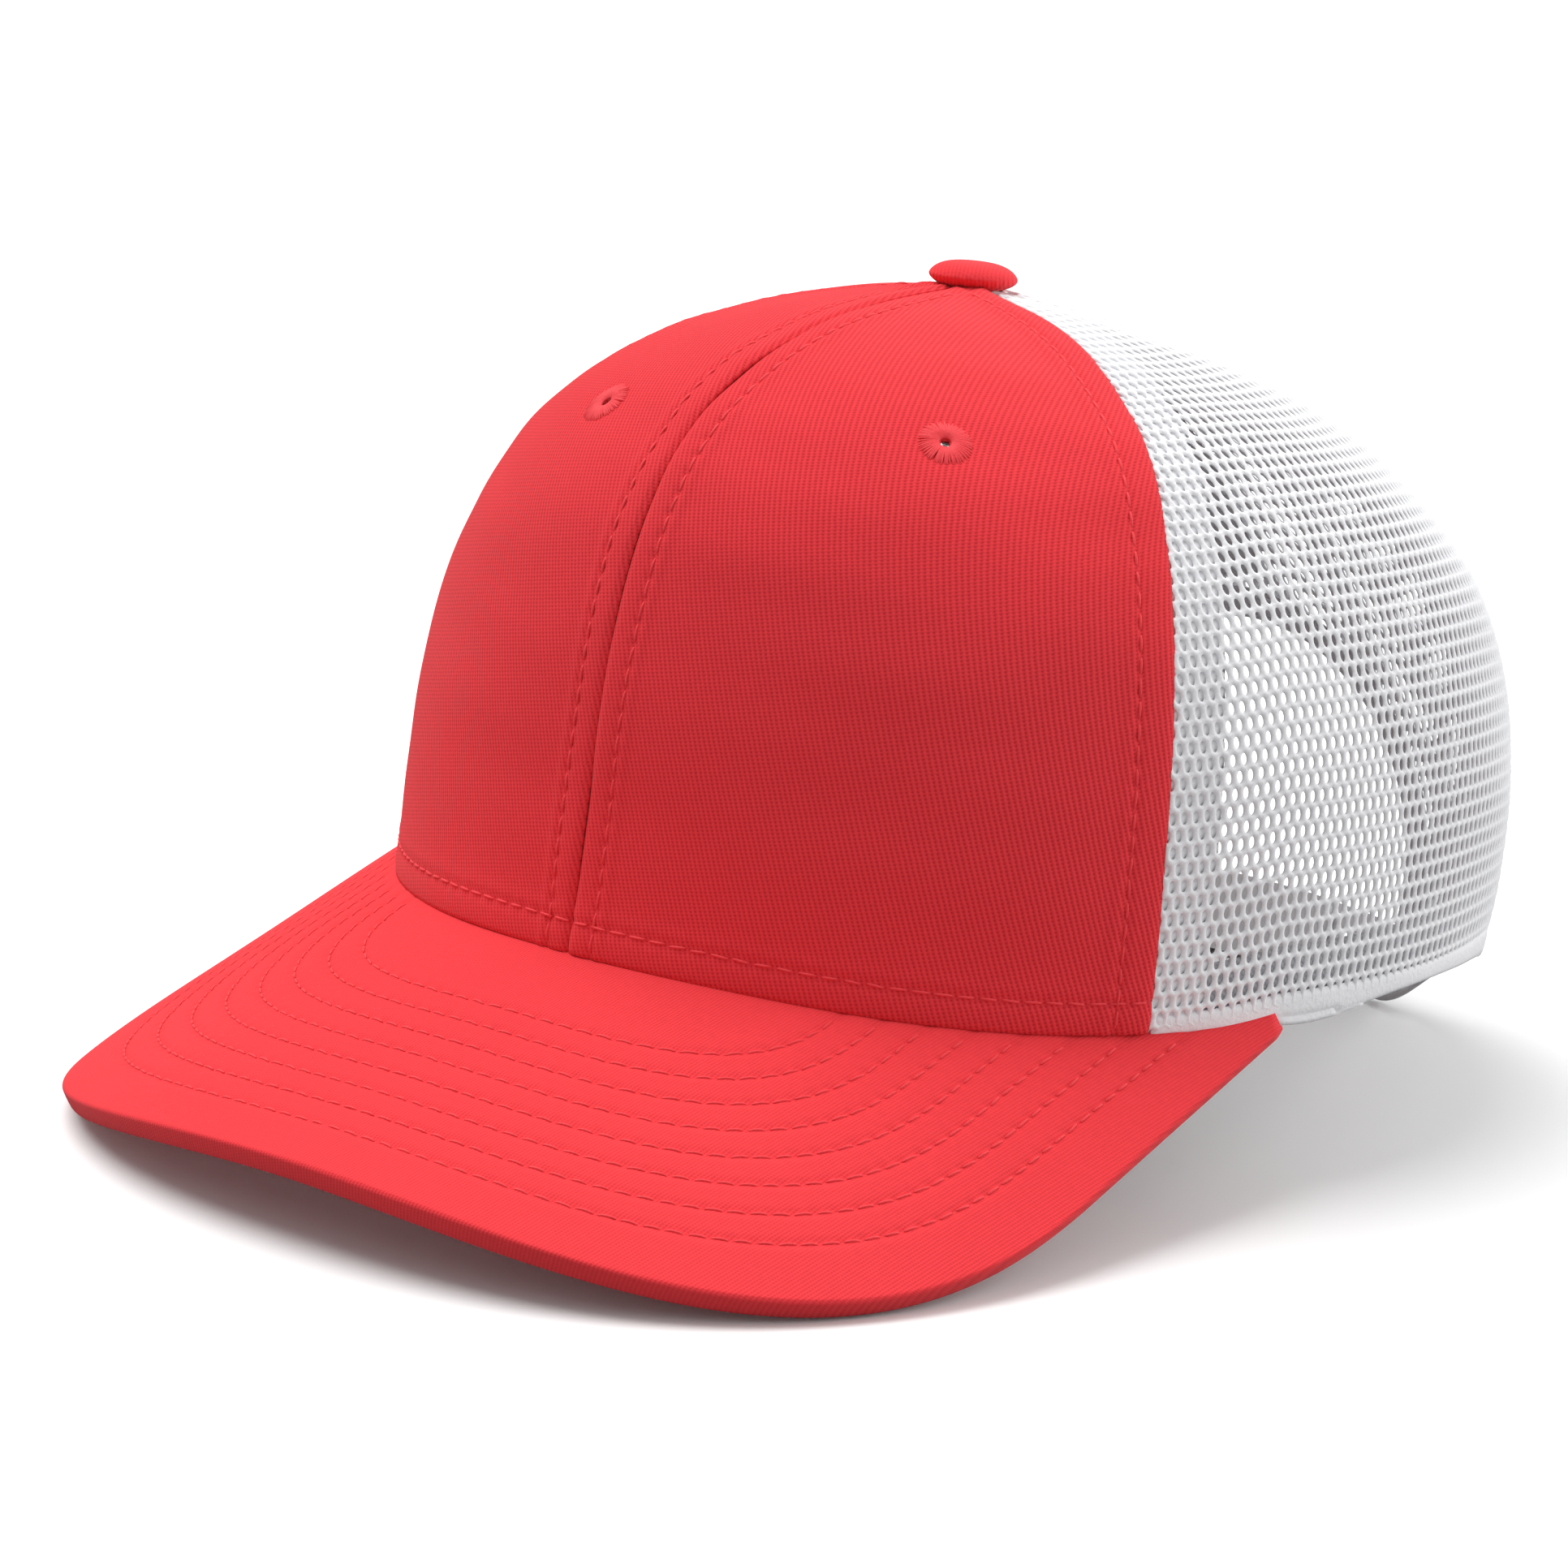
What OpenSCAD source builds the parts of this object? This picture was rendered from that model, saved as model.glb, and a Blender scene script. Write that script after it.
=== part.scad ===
// Trucker mesh cap: six-panel crown, curved visor, covered top button, snap closure at the back.
// Units are millimetres. +Z is up, the visor points to -Y, the wearer's left is +X.
// The origin lies on the resting plane, under the middle of the crown's lower edge.

/* [Crown] */
// Half width of the crown at its lower edge
half_w = 85; // [84:0.5:86]
// Distance from the origin forward to the lower edge
front_l = 98.8; // [98.4:0.1:99.2]
// Distance from the origin back to the lower edge
back_l = 86.4; // [86:0.1:86.8]
// Height of the top of the crown above the resting plane
crown_h = 132.2; // [131:0.2:133]
// How far the top of the crown sits toward the visor
crown_y = -13.9; // [-14.5:0.1:-13.5]
// Height of the front lower edge above the resting plane
front_z = 33.7; // [33.6:0.1:34]
// Lift of the lower edge beside the ears
hem_rise = 2.2; // [2:0.1:2.6]
// Thickness of the front twill
twill_t = 0.7; // [0.5:0.1:0.8]
// Thickness of the mesh fabric
mesh_t = 0.9; // [0.7:0.1:1]

/* [Visor] */
// Length of the visor in front of the crown
visor_l = 64.3; // [62:0.1:66]
// Half width of the visor along its curve
visor_w = 89.5; // [88:0.5:91]
// Radius of the visor's bend
visor_r = 152.4; // [150:0.1:155]
// Downward slope of the visor
visor_pitch = 20.5; // [20:0.1:21]
// Squareness of the visor outline
visor_sq = 2.46; // [2.3:0.02:2.6]
// Thickness of the visor board
board_t = 1.8; // [1.5:0.1:2]

/* [Rear opening] */
// Half angle of the rear opening seen from the origin
arch_a = 24; // [23.5:0.5:24.5]
// Height of the closure strap
strap_h = 14; // [13:0.5:14.5]
// Thickness of the closure straps
strap_t = 1.2; // [1.1:0.1:1.3]
// Radius of the closure studs
stud_r = 1.6; // [1.5:0.1:1.7]

/* [Trim] */
// Radius of the top button
button_r = 7.05; // [6.8:0.05:7.3]
// Height of the top button
button_h = 3.6; // [3.5:0.1:3.9]
// Height of the sweatband
band_h = 0.2; // [0.18:0.01:0.22]
// Radius of the sewn eyelets
eyelet_r = 4.4; // [4:0.1:4.8]

/* [Hidden] */
$fn = 64;
top_t = 0.98;
seam_a = [58.5, 9.9, -3.2];
side_a = 124;
arch_t0 = 0.07;
arch_t1 = 0.36;
rise = [56.8, 65.4, 58.9];
lean = [-3.9, 4.1, 22.2];
pull = [1.07, 0.725, 0.62];
drop = [-5.2, -6, -5.9];
visor_end = 72;
visor_s0 = -10.1;
back_z = 13;
tip_a = 3.47;
tip_up = -7.5;
gap = 0.2;
layer = 0.3;

red = [0.88, 0.22, 0.25];
white = [0.93, 0.93, 0.94];

// ---- the cap is drawn level, then tipped back until it rests on its visor and its closure
function tip(p) = [p[0], p[1] * cos(tip_a) + p[2] * sin(tip_a),
  p[2] * cos(tip_a) - p[1] * sin(tip_a) + tip_up];

// ---- the visor's surface: w runs across it, s runs forward, d is height above it
vd = [0, -cos(visor_pitch), -sin(visor_pitch)];
vn = [0, -sin(visor_pitch), cos(visor_pitch)];
function bow(w) = w / visor_r * 180 / PI;
function visor_pt(w, s, d) = tip([0, -front_l, front_z] + s * vd
  + [(visor_r + d) * sin(bow(w)), 0, 0] + ((visor_r + d) * cos(bow(w)) - visor_r) * vn);
function sag(x) = sqrt(visor_r * visor_r - x * x) - visor_r;
function visor_s(x, y) = (-front_l - sag(x) * sin(visor_pitch) - y) / cos(visor_pitch);
function visor_z(x, y) = front_z - visor_s(x, y) * sin(visor_pitch) + sag(x) * cos(visor_pitch);

// ---- the crown's surface: a is the angle round from the front, t runs from hem to top
function plan(a) = [half_w * sin(a), -(cos(a) > 0 ? front_l : back_l) * cos(a)];
function mix(a, v) = v[0] * pow(max(cos(a), 0), 2) + v[1] * pow(sin(a), 2)
  + v[2] * pow(max(-cos(a), 0), 2);
end_z = visor_z(plan(visor_end)[0], plan(visor_end)[1]);
function hem_z(a) = let (b = 180 - abs(180 - abs(a)), p = plan(a), u = max(min((b - visor_end) / 84, 1), 0))
  b < visor_end ? visor_z(p[0], p[1])
    : back_z + (end_z - back_z) * pow(cos(90 * pow(u, 3.5)), 2) + hem_rise * sin(180 * u);
function dome(a, t) = let (p = plan(a), r = norm(p), z = hem_z(a), k = mix(a, pull),
    l = mix(a, lean), m = 1 - t,
    p1 = [p[0] * (1 + l / r), p[1] * (1 + l / r), z + mix(a, rise)],
    p2 = [p[0] * k, crown_y + (p[1] - crown_y) * k, crown_h + mix(a, drop)])
  m * m * m * [p[0], p[1], z] + 3 * m * m * t * p1 + 3 * m * t * t * p2
    + t * t * t * [0, crown_y, crown_h];
function crown(a, t) = tip(dome(a, t));
function facing(a, t) = let (c = cross(crown(a + 0.5, t) - crown(a - 0.5, t),
    crown(a, min(t + 0.01, 0.995)) - crown(a, max(t - 0.01, 0)))) c / norm(c);
function on(a, t, d) = crown(a, t) + d * facing(a, t);
function reach(a, t) = let (c = dome(a, t)) norm([c[0], c[1] - crown_y]);
function turn(a, t, mm) = mm / reach(a, t) * 180 / PI;
function seam(t) = seam_a[0] + seam_a[1] * t + seam_a[2] * sin(180 * t);
function arch(t) = t <= arch_t0 ? arch_a : t >= arch_t1 ? 0
  : arch_a * sqrt(1 - pow((t - arch_t0) / (arch_t1 - arch_t0), 2));
rows = concat([0, arch_t0], [for (k = [1:7]) arch_t0 + (arch_t1 - arch_t0) * sin(90 * k / 7)],
  [for (k = [1:8]) arch_t1 + (top_t - arch_t1) * k / 8]);

// ---- a closed thin solid over a grid; f(u, v, d) gives a point, us and vs list its steps
module slab(f, us, vs, d0, d1) {
  n = len(us);
  m = len(vs);
  pts = [for (d = [d1, d0]) for (v = vs) for (u = us) f(u, v, d)];
  function at(i, j, s) = s * n * m + j * n + i;
  skin = [for (j = [0:m - 2]) for (i = [0:n - 2])
    each [[at(i, j, 0), at(i, j + 1, 0), at(i + 1, j, 0)],
      [at(i + 1, j, 0), at(i, j + 1, 0), at(i + 1, j + 1, 0)],
      [at(i, j, 1), at(i + 1, j, 1), at(i, j + 1, 1)],
      [at(i + 1, j, 1), at(i + 1, j + 1, 1), at(i, j + 1, 1)]]];
  low = [for (i = [0:n - 2]) each [[at(i, 0, 0), at(i + 1, 0, 0), at(i, 0, 1)],
    [at(i + 1, 0, 0), at(i + 1, 0, 1), at(i, 0, 1)]]];
  high = [for (i = [0:n - 2]) each [[at(i, m - 1, 0), at(i, m - 1, 1), at(i + 1, m - 1, 0)],
    [at(i + 1, m - 1, 0), at(i, m - 1, 1), at(i + 1, m - 1, 1)]]];
  left = [for (j = [0:m - 2]) each [[at(0, j, 0), at(0, j, 1), at(0, j + 1, 0)],
    [at(0, j + 1, 0), at(0, j, 1), at(0, j + 1, 1)]]];
  right = [for (j = [0:m - 2]) each [[at(n - 1, j, 0), at(n - 1, j + 1, 0), at(n - 1, j, 1)],
    [at(n - 1, j + 1, 0), at(n - 1, j + 1, 1), at(n - 1, j, 1)]]];
  polyhedron(points = pts, faces = concat(skin, low, high, left, right), convexity = 8);
}
function steps(n) = [for (i = [0:n]) i / n];

// ---- a piece of the crown between two lines a0(t) and a1(t)
module wall(a0, a1, ts, n, d0, d1)
  slab(function(u, t, d) on(a0(t) + (a1(t) - a0(t)) * u, t, d), steps(n), ts, d0, d1);

module front_panel(s) {
  lo = function(t) turn(0, t, gap);
  hi = function(t) seam(t) - turn(seam(t), t, gap);
  color(red) wall(s > 0 ? lo : function(t) -hi(t), s > 0 ? hi : function(t) -lo(t), rows, 8,
    -twill_t / 2, twill_t / 2);
}
module side_mesh(s) {
  lo = function(t) seam(t) + turn(seam(t), t, gap);
  hi = function(t) side_a - turn(side_a, t, gap);
  color(white) wall(s > 0 ? lo : function(t) -hi(t), s > 0 ? hi : function(t) -lo(t), rows, 8,
    -mesh_t / 2, mesh_t / 2);
}
module back_mesh(s) {
  lo = function(t) side_a + turn(side_a, t, gap);
  hi = function(t) 180 - max(arch(t), turn(180, t, gap));
  color(white) wall(s > 0 ? lo : function(t) -hi(t), s > 0 ? hi : function(t) -lo(t), rows, 7,
    -mesh_t / 2, mesh_t / 2);
}
module buckram(s) {
  lo = function(t) turn(0, t, 1.2);
  hi = function(t) seam(t) - turn(seam(t), t, 1.2);
  top = -twill_t / 2 - layer;
  ts = [for (k = [0:len(rows) - 2]) rows[k]];
  color(white) wall(s > 0 ? lo : function(t) -hi(t), s > 0 ? hi : function(t) -lo(t), ts, 8,
    top - 0.4, top);
}

// ---- inside: seam tapes, hem tape, sweatband, binding of the rear opening
tape_d = -1.5;
module seam_tape(a, t0, t1) {
  ts = [for (k = [0:10]) t0 + (t1 - t0) * k / 10];
  color(white) slab(function(u, t, d) on(a(t) + turn(a(t), t, 5.5) * (2 * u - 1), t, d),
    steps(2), ts, tape_d - 0.4, tape_d);
}
module sweatband() {
  ts = steps(3) * band_h;
  color(white) slab(function(u, t, d) on((seam(0) - 2) * (2 * u - 1), t, d), steps(18), ts,
    -3.4, -2.2);
}
module hem_tape(s) {
  lo = seam(0) + 3;
  hi = 180 - arch_a - 8;
  color(white) slab(function(u, t, d) on(s > 0 ? lo + (hi - lo) * u : -hi + (hi - lo) * u, t, d),
    steps(12), [0, 0.025, 0.05], -1.4, -1);
}
module arch_binding() {
  wide = 5.2;
  tall = 0.045;
  f = function(u, v, d) let (p = 180 * u, q = 0.15 + 0.85 * v,
      b = (arch_a + wide * q) * cos(p), t = arch_t0 + (arch_t1 - arch_t0 + tall * q) * sin(p))
    on(180 + b, t, d);
  color(white) slab(f, steps(20), [1, 0], -1.5, -1);
}

// ---- visor: cover, board and under cover, between the hem line and the outline
function join_w(a) = visor_r * asin(plan(a)[0] / visor_r) * PI / 180;
function edge(e, inset) = let (p = 2 / visor_sq, c = pow(abs(cos(e)), p), s = pow(abs(sin(e)), p))
  [(visor_w - inset) * s * sign(sin(e)), visor_s0 + (visor_l - visor_s0 - inset) * c];
function inner(e, inset) = let (a = e * visor_end / 90, q = plan(a), n = q / norm(q),
    p = q + n * (0.75 + inset)) [visor_r * asin(p[0] / visor_r) * PI / 180, visor_s(p[0], p[1])];
module visor_layer(d0, d1, inset) {
  f = function(u, v, d) let (e = 180 * u - 90, p = inner(e, inset), q = edge(e, inset),
      w = p + (q - p) * v) visor_pt(w[0], w[1], d);
  us = [for (i = [0:30]) 0.5 - cos(180 * i / 30) / 2];
  slab(f, us, [1, 0.82, 0.6, 0.4, 0.2, 0], d0, d1);
}
cover_t = 0.7;
board_d = -cover_t - 0.2;
under_d = board_d - board_t - 0.2;
module visor_top_cover() color(red) visor_layer(-cover_t, 0, 0);
module visor_board() color(white) visor_layer(board_d - board_t, board_d, 1.2);
module visor_under_cover() color(red) visor_layer(under_d - cover_t, under_d, 0);

// ---- top button: cloth cover over a shell, set with a shank through the crown
module at_top() translate(tip([0, crown_y, crown_h - 0.65])) rotate([-tip_a, 0, 0]) children();
module button_cover() color(red) at_top() rotate_extrude() polygon(concat(
  [for (k = [0:8]) [button_r * sin(90 * k / 8), 2.4 + (button_h - 1.4) * pow(cos(90 * k / 8), 0.9)]],
  [[button_r, 1.7], [button_r - 0.8, 0.9], [4.6, 0.9], [4.6, 1.5], [button_r - 1, 1.5],
    [button_r - 0.6, 2], [button_r - 0.6, 2.4]],
  [for (k = [8:-1:0]) [(button_r - 0.6) * sin(90 * k / 8),
    2.4 + (button_h - 2) * pow(cos(90 * k / 8), 0.9)]]));
module button_core() color([0.75, 0.76, 0.78]) at_top() rotate_extrude() polygon(
  concat([[1.3, 1.7], [button_r - 1.2, 1.7]],
  [for (k = [8:-1:0]) [1.3 + (button_r - 2.2) * sin(90 * k / 8),
    2.4 + (button_h - 2.3) * pow(cos(90 * k / 8), 0.9)]]));
module button_shank() color([0.75, 0.76, 0.78]) at_top() {
  translate([0, 0, -4.2]) cylinder(r = 1.2, h = 7.2);
}
module button_clinch() color([0.75, 0.76, 0.78]) at_top() translate([0, 0, -3.6])
  difference() {
    cylinder(r = 5, h = 0.8);
    translate([0, 0, -1]) cylinder(r = 1.25, h = 3);
  }

// ---- sewn eyelets
eyelet_at = [[33, 0.629], [-18.2, 0.608]];
module face_out(a, t, d) {
  n = facing(a, t);
  translate(on(a, t, d)) rotate([0, acos(n[2]), atan2(n[1], n[0])]) children();
}
module eyelet(k) color(red) face_out(eyelet_at[k][0], eyelet_at[k][1], 0.65) rotate_extrude()
  polygon([[0.8, 0], [eyelet_r, 0], [eyelet_r, 0.3], [eyelet_r - 0.8, 0.8], [1.6, 0.8],
    [0.8, 0.4]]);

// ---- snap closure: a conical band round the back, in two overlapping straps
flare = 24;
strap_r = tip([0, back_l, back_z])[1];
hinge_a = arch_a - 0.8;
lap_a = 14;
pitch_a = 5.5;
outer = -2.2;
strap_z = outer * sin(flare);
inner_n = outer - strap_t - 0.4;
stud_out = 0.8;
hole_r = stud_r + 1.25;
corner = 4;
// A length of band from angle b0 to b1, seen from straight back toward the wearer's left
function across(n, h) = [strap_r + n * cos(flare) + h * sin(flare),
  strap_z - n * sin(flare) + h * cos(flare)];
module band(b0, b1, n) rotate([0, 0, 90 - b1]) rotate_extrude(angle = b1 - b0, $fn = 180)
  polygon([across(n - strap_t, 0), across(n, 0), across(n, strap_h), across(n - strap_t, strap_h)]);
// A place on the band at angle b, n out from it, looking outward
module on_band(b, n) rotate([0, 0, 90 - b])
  translate([across(n, strap_h / 2)[0], 0, across(n, strap_h / 2)[1]]) rotate([0, 90 + flare, 0])
  children();
// Trims the two corners off a strap's free end at angle b; s is 1 toward the wearer's left
module cut_corners(b, n, s) on_band(b - s * corner / strap_r * 180 / PI, n - strap_t - 1)
  linear_extrude(strap_t + 2) difference() {
    translate([-strap_h, s > 0 ? -8 : 0]) square([2 * strap_h, 8]);
    square([strap_h - 2 * corner, 2 * corner], center = true);
    for (x = [-1, 1]) translate([x * (strap_h / 2 - corner), 0]) circle(corner);
  }
module tab(s, n) {
  lo = 180 - hinge_a - 6;
  hi = 180 - hinge_a - 0.9;
  color(white) slab(function(u, t, d) on(s > 0 ? lo + (hi - lo) * u : -hi + (hi - lo) * u, t, d),
    steps(3), [0.001, 0.025, 0.05], n - strap_t, n);
}
module hole_tab() tab(1, outer);
module stud_tab() tab(-1, inner_n);
module hole_strap() color(white) difference() {
  band(-lap_a, hinge_a - 0.1, outer);
  for (k = [-2:3]) on_band(k * pitch_a, outer - strap_t - 1) cylinder(r = hole_r, h = strap_t + 2);
  cut_corners(-lap_a, outer, -1);
}
module stud_strap() color(white) union() {
  difference() {
    band(-hinge_a + 0.1, lap_a, inner_n);
    cut_corners(lap_a, inner_n, 1);
  }
  for (k = [-3:2]) on_band(k * pitch_a, inner_n - strap_t / 2)
    cylinder(r = stud_r, h = strap_t * 1.5 + 0.4 + stud_out);
}

front_panel(1);  // front_panel_left
front_panel(-1);  // front_panel_right
side_mesh(1);  // side_mesh_left
side_mesh(-1);  // side_mesh_right
back_mesh(1);  // back_mesh_left
back_mesh(-1);  // back_mesh_right
buckram(1);  // buckram_left
buckram(-1);  // buckram_right
visor_top_cover();
visor_board();
visor_under_cover();
sweatband();
hem_tape(1);  // hem_tape_left
hem_tape(-1);  // hem_tape_right
seam_tape(function(t) 0, 0.02, 0.92);  // tape_front_centre
seam_tape(function(t) seam(t), 0.02, 0.92);  // tape_front_left
seam_tape(function(t) -seam(t), 0.02, 0.92);  // tape_front_right
seam_tape(function(t) side_a, 0.06, 0.92);  // tape_side_left
seam_tape(function(t) -side_a, 0.06, 0.92);  // tape_side_right
seam_tape(function(t) 180, arch_t1 + 0.06, 0.92);  // tape_back_centre
arch_binding();
button_cover();
button_core();
button_shank();
button_clinch();
eyelet(0);  // eyelet_left
eyelet(1);  // eyelet_right
hole_tab();
stud_tab();
hole_strap();
stud_strap();
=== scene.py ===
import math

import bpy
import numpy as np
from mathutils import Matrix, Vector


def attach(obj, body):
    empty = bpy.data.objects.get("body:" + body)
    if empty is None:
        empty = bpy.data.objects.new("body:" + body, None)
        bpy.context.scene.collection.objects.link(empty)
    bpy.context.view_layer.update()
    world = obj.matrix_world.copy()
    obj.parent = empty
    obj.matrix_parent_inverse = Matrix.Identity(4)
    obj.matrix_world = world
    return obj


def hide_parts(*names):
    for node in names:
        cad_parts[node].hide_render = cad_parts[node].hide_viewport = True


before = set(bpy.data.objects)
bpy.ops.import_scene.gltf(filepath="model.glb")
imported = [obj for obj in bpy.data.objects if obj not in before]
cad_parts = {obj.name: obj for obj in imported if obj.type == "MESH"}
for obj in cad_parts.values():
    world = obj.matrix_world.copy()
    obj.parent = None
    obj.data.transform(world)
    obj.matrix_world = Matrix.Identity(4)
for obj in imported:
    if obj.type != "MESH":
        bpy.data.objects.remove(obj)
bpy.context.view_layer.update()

# %% [markdown]
# # A trucker mesh cap
# This lesson dresses a plain engineering model of a cap as cloth, knitted mesh, thread and plastic.
# The frame holds the plain solids and their moving parts. Every soft solid is replaced by a finer
# piece that follows the same curved surface, so the two always agree on size and place.
# Lengths in the sums below are millimetres, because a cap is thought of that way. They become
# metres at the moment a mesh is made.

MM = 0.001
BODY = "crown"
SIDES = ((1, "left"), (-1, "right"))
rng = np.random.default_rng(7)

# %% [markdown]
# ## The curved surfaces
# A cap has two master surfaces: the dome of the crown and the bent sheet of the visor. Each is a
# formula, not a stored table of points. The crown takes an angle a round the head, in degrees from
# the front, and t, which runs from 0 at the hem to 1 under the button. At each angle a cubic Bezier
# arc climbs from the hem to the top. The visor takes w across and s forward.
# A formula lets every layer, seam and stitch sit exactly on the same surface at its own depth.

# %% Master surfaces
HALF_W, FRONT_L, BACK_L = 85.0, 98.8, 86.4
CROWN_H, CROWN_Y, FRONT_Z, BACK_Z, HEM_RISE = 132.2, -13.9, 33.7, 13.0, 2.2
TIP, TIP_UP = math.radians(3.47), -7.5
VISOR_R, VISOR_PITCH, VISOR_L, VISOR_W = 152.4, math.radians(20.5), 64.3, 89.5
VISOR_SQ, VISOR_S0, VISOR_END = 2.46, -10.1, 72.0
TOP_T, SIDE_A, ARCH_A, ARCH_T0, ARCH_T1 = 0.98, 124.0, 24.0, 0.07, 0.36
RISE, LEAN = (56.8, 65.4, 58.9), (-3.9, 4.1, 22.2)
PULL, DROP = (1.07, 0.725, 0.62), (-5.2, -6.0, -5.9)
HEM_SPAN, HEM_BEND = 84, 3.5
SEAM_A, SEAM_LEAN, SEAM_BOW = 58.5, 9.9, 3.2
FORWARD = np.array([0, -math.cos(VISOR_PITCH), -math.sin(VISOR_PITCH)])
UPWARD = np.array([0, -math.sin(VISOR_PITCH), math.cos(VISOR_PITCH)])
# The cap is drawn level, then tipped back until it rests on its visor and its closure.
TIPPED = np.array([[1, 0, 0],
                   [0, math.cos(TIP), math.sin(TIP)],
                   [0, -math.sin(TIP), math.cos(TIP)]])


def tip(points):
    """Points of the level cap, as they stand once the cap is tipped back."""
    return np.asarray(points) @ TIPPED.T + np.array([0, 0, TIP_UP])


def cosd(a):
    return np.cos(np.radians(a))


def sind(a):
    return np.sin(np.radians(a))


def unit(v):
    return v / np.linalg.norm(v, axis=-1, keepdims=True)


def plan(a):
    """The hem seen from above."""
    length = np.where(cosd(a) > 0, FRONT_L, BACK_L)
    return HALF_W * sind(a), -length * cosd(a)


def mix(a, values):
    """A number that is set for the front, the side and the back, blended round the head."""
    front, back = np.maximum(cosd(a), 0) ** 2, np.maximum(-cosd(a), 0) ** 2
    return values[0] * front + values[1] * sind(a) ** 2 + values[2] * back


def sag(x):
    """How far the bent visor has dropped at x, measured square to its own slope."""
    return np.sqrt(np.maximum(VISOR_R**2 - x**2, 1)) - VISOR_R


def visor_s(x, y):
    return (-FRONT_L - sag(x) * math.sin(VISOR_PITCH) - y) / math.cos(VISOR_PITCH)


def visor_z(x, y):
    drop = visor_s(x, y) * math.sin(VISOR_PITCH)
    return FRONT_Z - drop + sag(x) * math.cos(VISOR_PITCH)


def hem_z(a):
    b = 180 - np.abs(180 - np.abs(a))
    x, y = plan(b)
    u = np.clip((b - VISOR_END) / HEM_SPAN, 0, 1)
    end = visor_z(*plan(np.float64(VISOR_END)))
    back = BACK_Z + (end - BACK_Z) * cosd(90 * u**HEM_BEND) ** 2 + HEM_RISE * sind(180 * u)
    return np.where(b < VISOR_END, visor_z(x, y), back)


def dome(a, t):
    """The level crown: a Bezier arc p0 to p3 from the hem to the top at each angle."""
    a, t = np.broadcast_arrays(np.asarray(a, float), np.asarray(t, float))
    x, y = plan(a)
    r, z, k, lean, m = np.hypot(x, y), hem_z(a), mix(a, PULL), mix(a, LEAN), 1 - t
    p0 = np.stack([x, y, z], -1)
    p1 = np.stack([x * (1 + lean / r), y * (1 + lean / r), z + mix(a, RISE)], -1)
    p2 = np.stack([x * k, CROWN_Y + (y - CROWN_Y) * k, CROWN_H + mix(a, DROP)], -1)
    p3 = np.array([0, CROWN_Y, CROWN_H])
    m, t = m[..., None], t[..., None]
    return m**3 * p0 + 3 * m * m * t * p1 + 3 * m * t * t * p2 + t**3 * p3


def crown(a, t):
    return tip(dome(a, t))


def facing(a, t):
    """The direction the crown faces, outward."""
    u = crown(a + 0.4, t) - crown(a - 0.4, t)
    v = crown(a, np.minimum(t + 0.008, 0.998)) - crown(a, np.maximum(t - 0.008, 0))
    return unit(np.cross(u, v))


def on(a, t, d):
    """A place at depth d over the crown."""
    a, t = np.broadcast_arrays(np.asarray(a, float), np.asarray(t, float))
    return crown(a, t) + np.asarray(d, float)[..., None] * facing(a, t)


def reach(a, t):
    """Distance from the crown's upright axis."""
    c = dome(a, t)
    return np.hypot(c[..., 0], c[..., 1] - CROWN_Y)


def turn(a, t, mm):
    """The angle that covers mm millimetres round the crown."""
    return np.degrees(mm / np.maximum(reach(a, t), 1.0))


def seam(t):
    """The angle of the seam between red panel and mesh."""
    return SEAM_A + SEAM_LEAN * t - SEAM_BOW * sind(180 * t)


def steady(angle):
    return lambda t: angle + 0 * t


def beside(line, mm):
    """A line of angles, mm millimetres along from another one."""
    return lambda t: line(t) + turn(line(t), t, mm)


def level_visor(w, s, d):
    """A place on the level visor: w across, s forward and d over its surface."""
    w, s, d = np.broadcast_arrays(w, s, np.asarray(d, float))
    across = (VISOR_R + d) * np.sin(w / VISOR_R)
    up = (VISOR_R + d) * np.cos(w / VISOR_R) - VISOR_R
    start = np.array([0, -FRONT_L, FRONT_Z])
    side = np.array([1.0, 0, 0])
    return start + s[..., None] * FORWARD + across[..., None] * side + up[..., None] * UPWARD


def visor_point(w, s, d):
    return tip(level_visor(w, s, d))


print("top of crown", crown(0.0, 1.0), "hem behind", hem_z(np.float64(180)))

# %% [markdown]
# ## Camera, light and floor
# A long lens from a low three-quarter view keeps the proportions calm, as in a shop picture. The
# camera is set first, because it decides how fine the threads have to be. Light comes from a wide
# panel overhead and a white room, so the top of the cap and visor are bright, the upright front
# falls into soft shade and the ground shadow has no hard edge. A second panel at the side keeps the
# white mesh bright.

# %% Camera
LENS, FILM = 119.3, 36
DISTANCE, FARTHER = 790.34, 1.04938
WATCHED = np.array([0, -20.0, 50.0])
ASIDE = math.radians(1.209486)
azimuth, elevation, roll = (math.radians(x) for x in (35.62, 10.47, 5.99))
back = np.array([math.sin(azimuth) * math.cos(elevation),
                 -math.cos(azimuth) * math.cos(elevation), math.sin(elevation)])
level = np.array([math.cos(azimuth), math.sin(azimuth), 0.0])
lift = np.cross(back, level)
right = level * math.cos(roll) + lift * math.sin(roll)
upright = np.cross(back, right)
# The camera was placed for the level cap, so it is tipped back with it.
stand = tip((WATCHED + back * DISTANCE) * FARTHER) * MM
aim = Matrix(TIPPED.tolist()) @ Matrix([right, upright, back]).transposed()
# A small turn to the side puts the cap right of the middle of the picture.
aside = Matrix.Rotation(ASIDE, 3, "Y")
camera_data = bpy.data.cameras.new("camera")
camera_data.lens, camera_data.sensor_width = LENS, FILM
camera_data.clip_start, camera_data.clip_end = 0.05, 20
camera = bpy.data.objects.new("camera", camera_data)
camera.matrix_world = Matrix.Translation(stand) @ (aim @ aside).to_4x4()
bpy.context.scene.collection.objects.link(camera)
bpy.context.scene.camera = camera
print("camera at", [round(float(x), 3) for x in stand])

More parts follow.
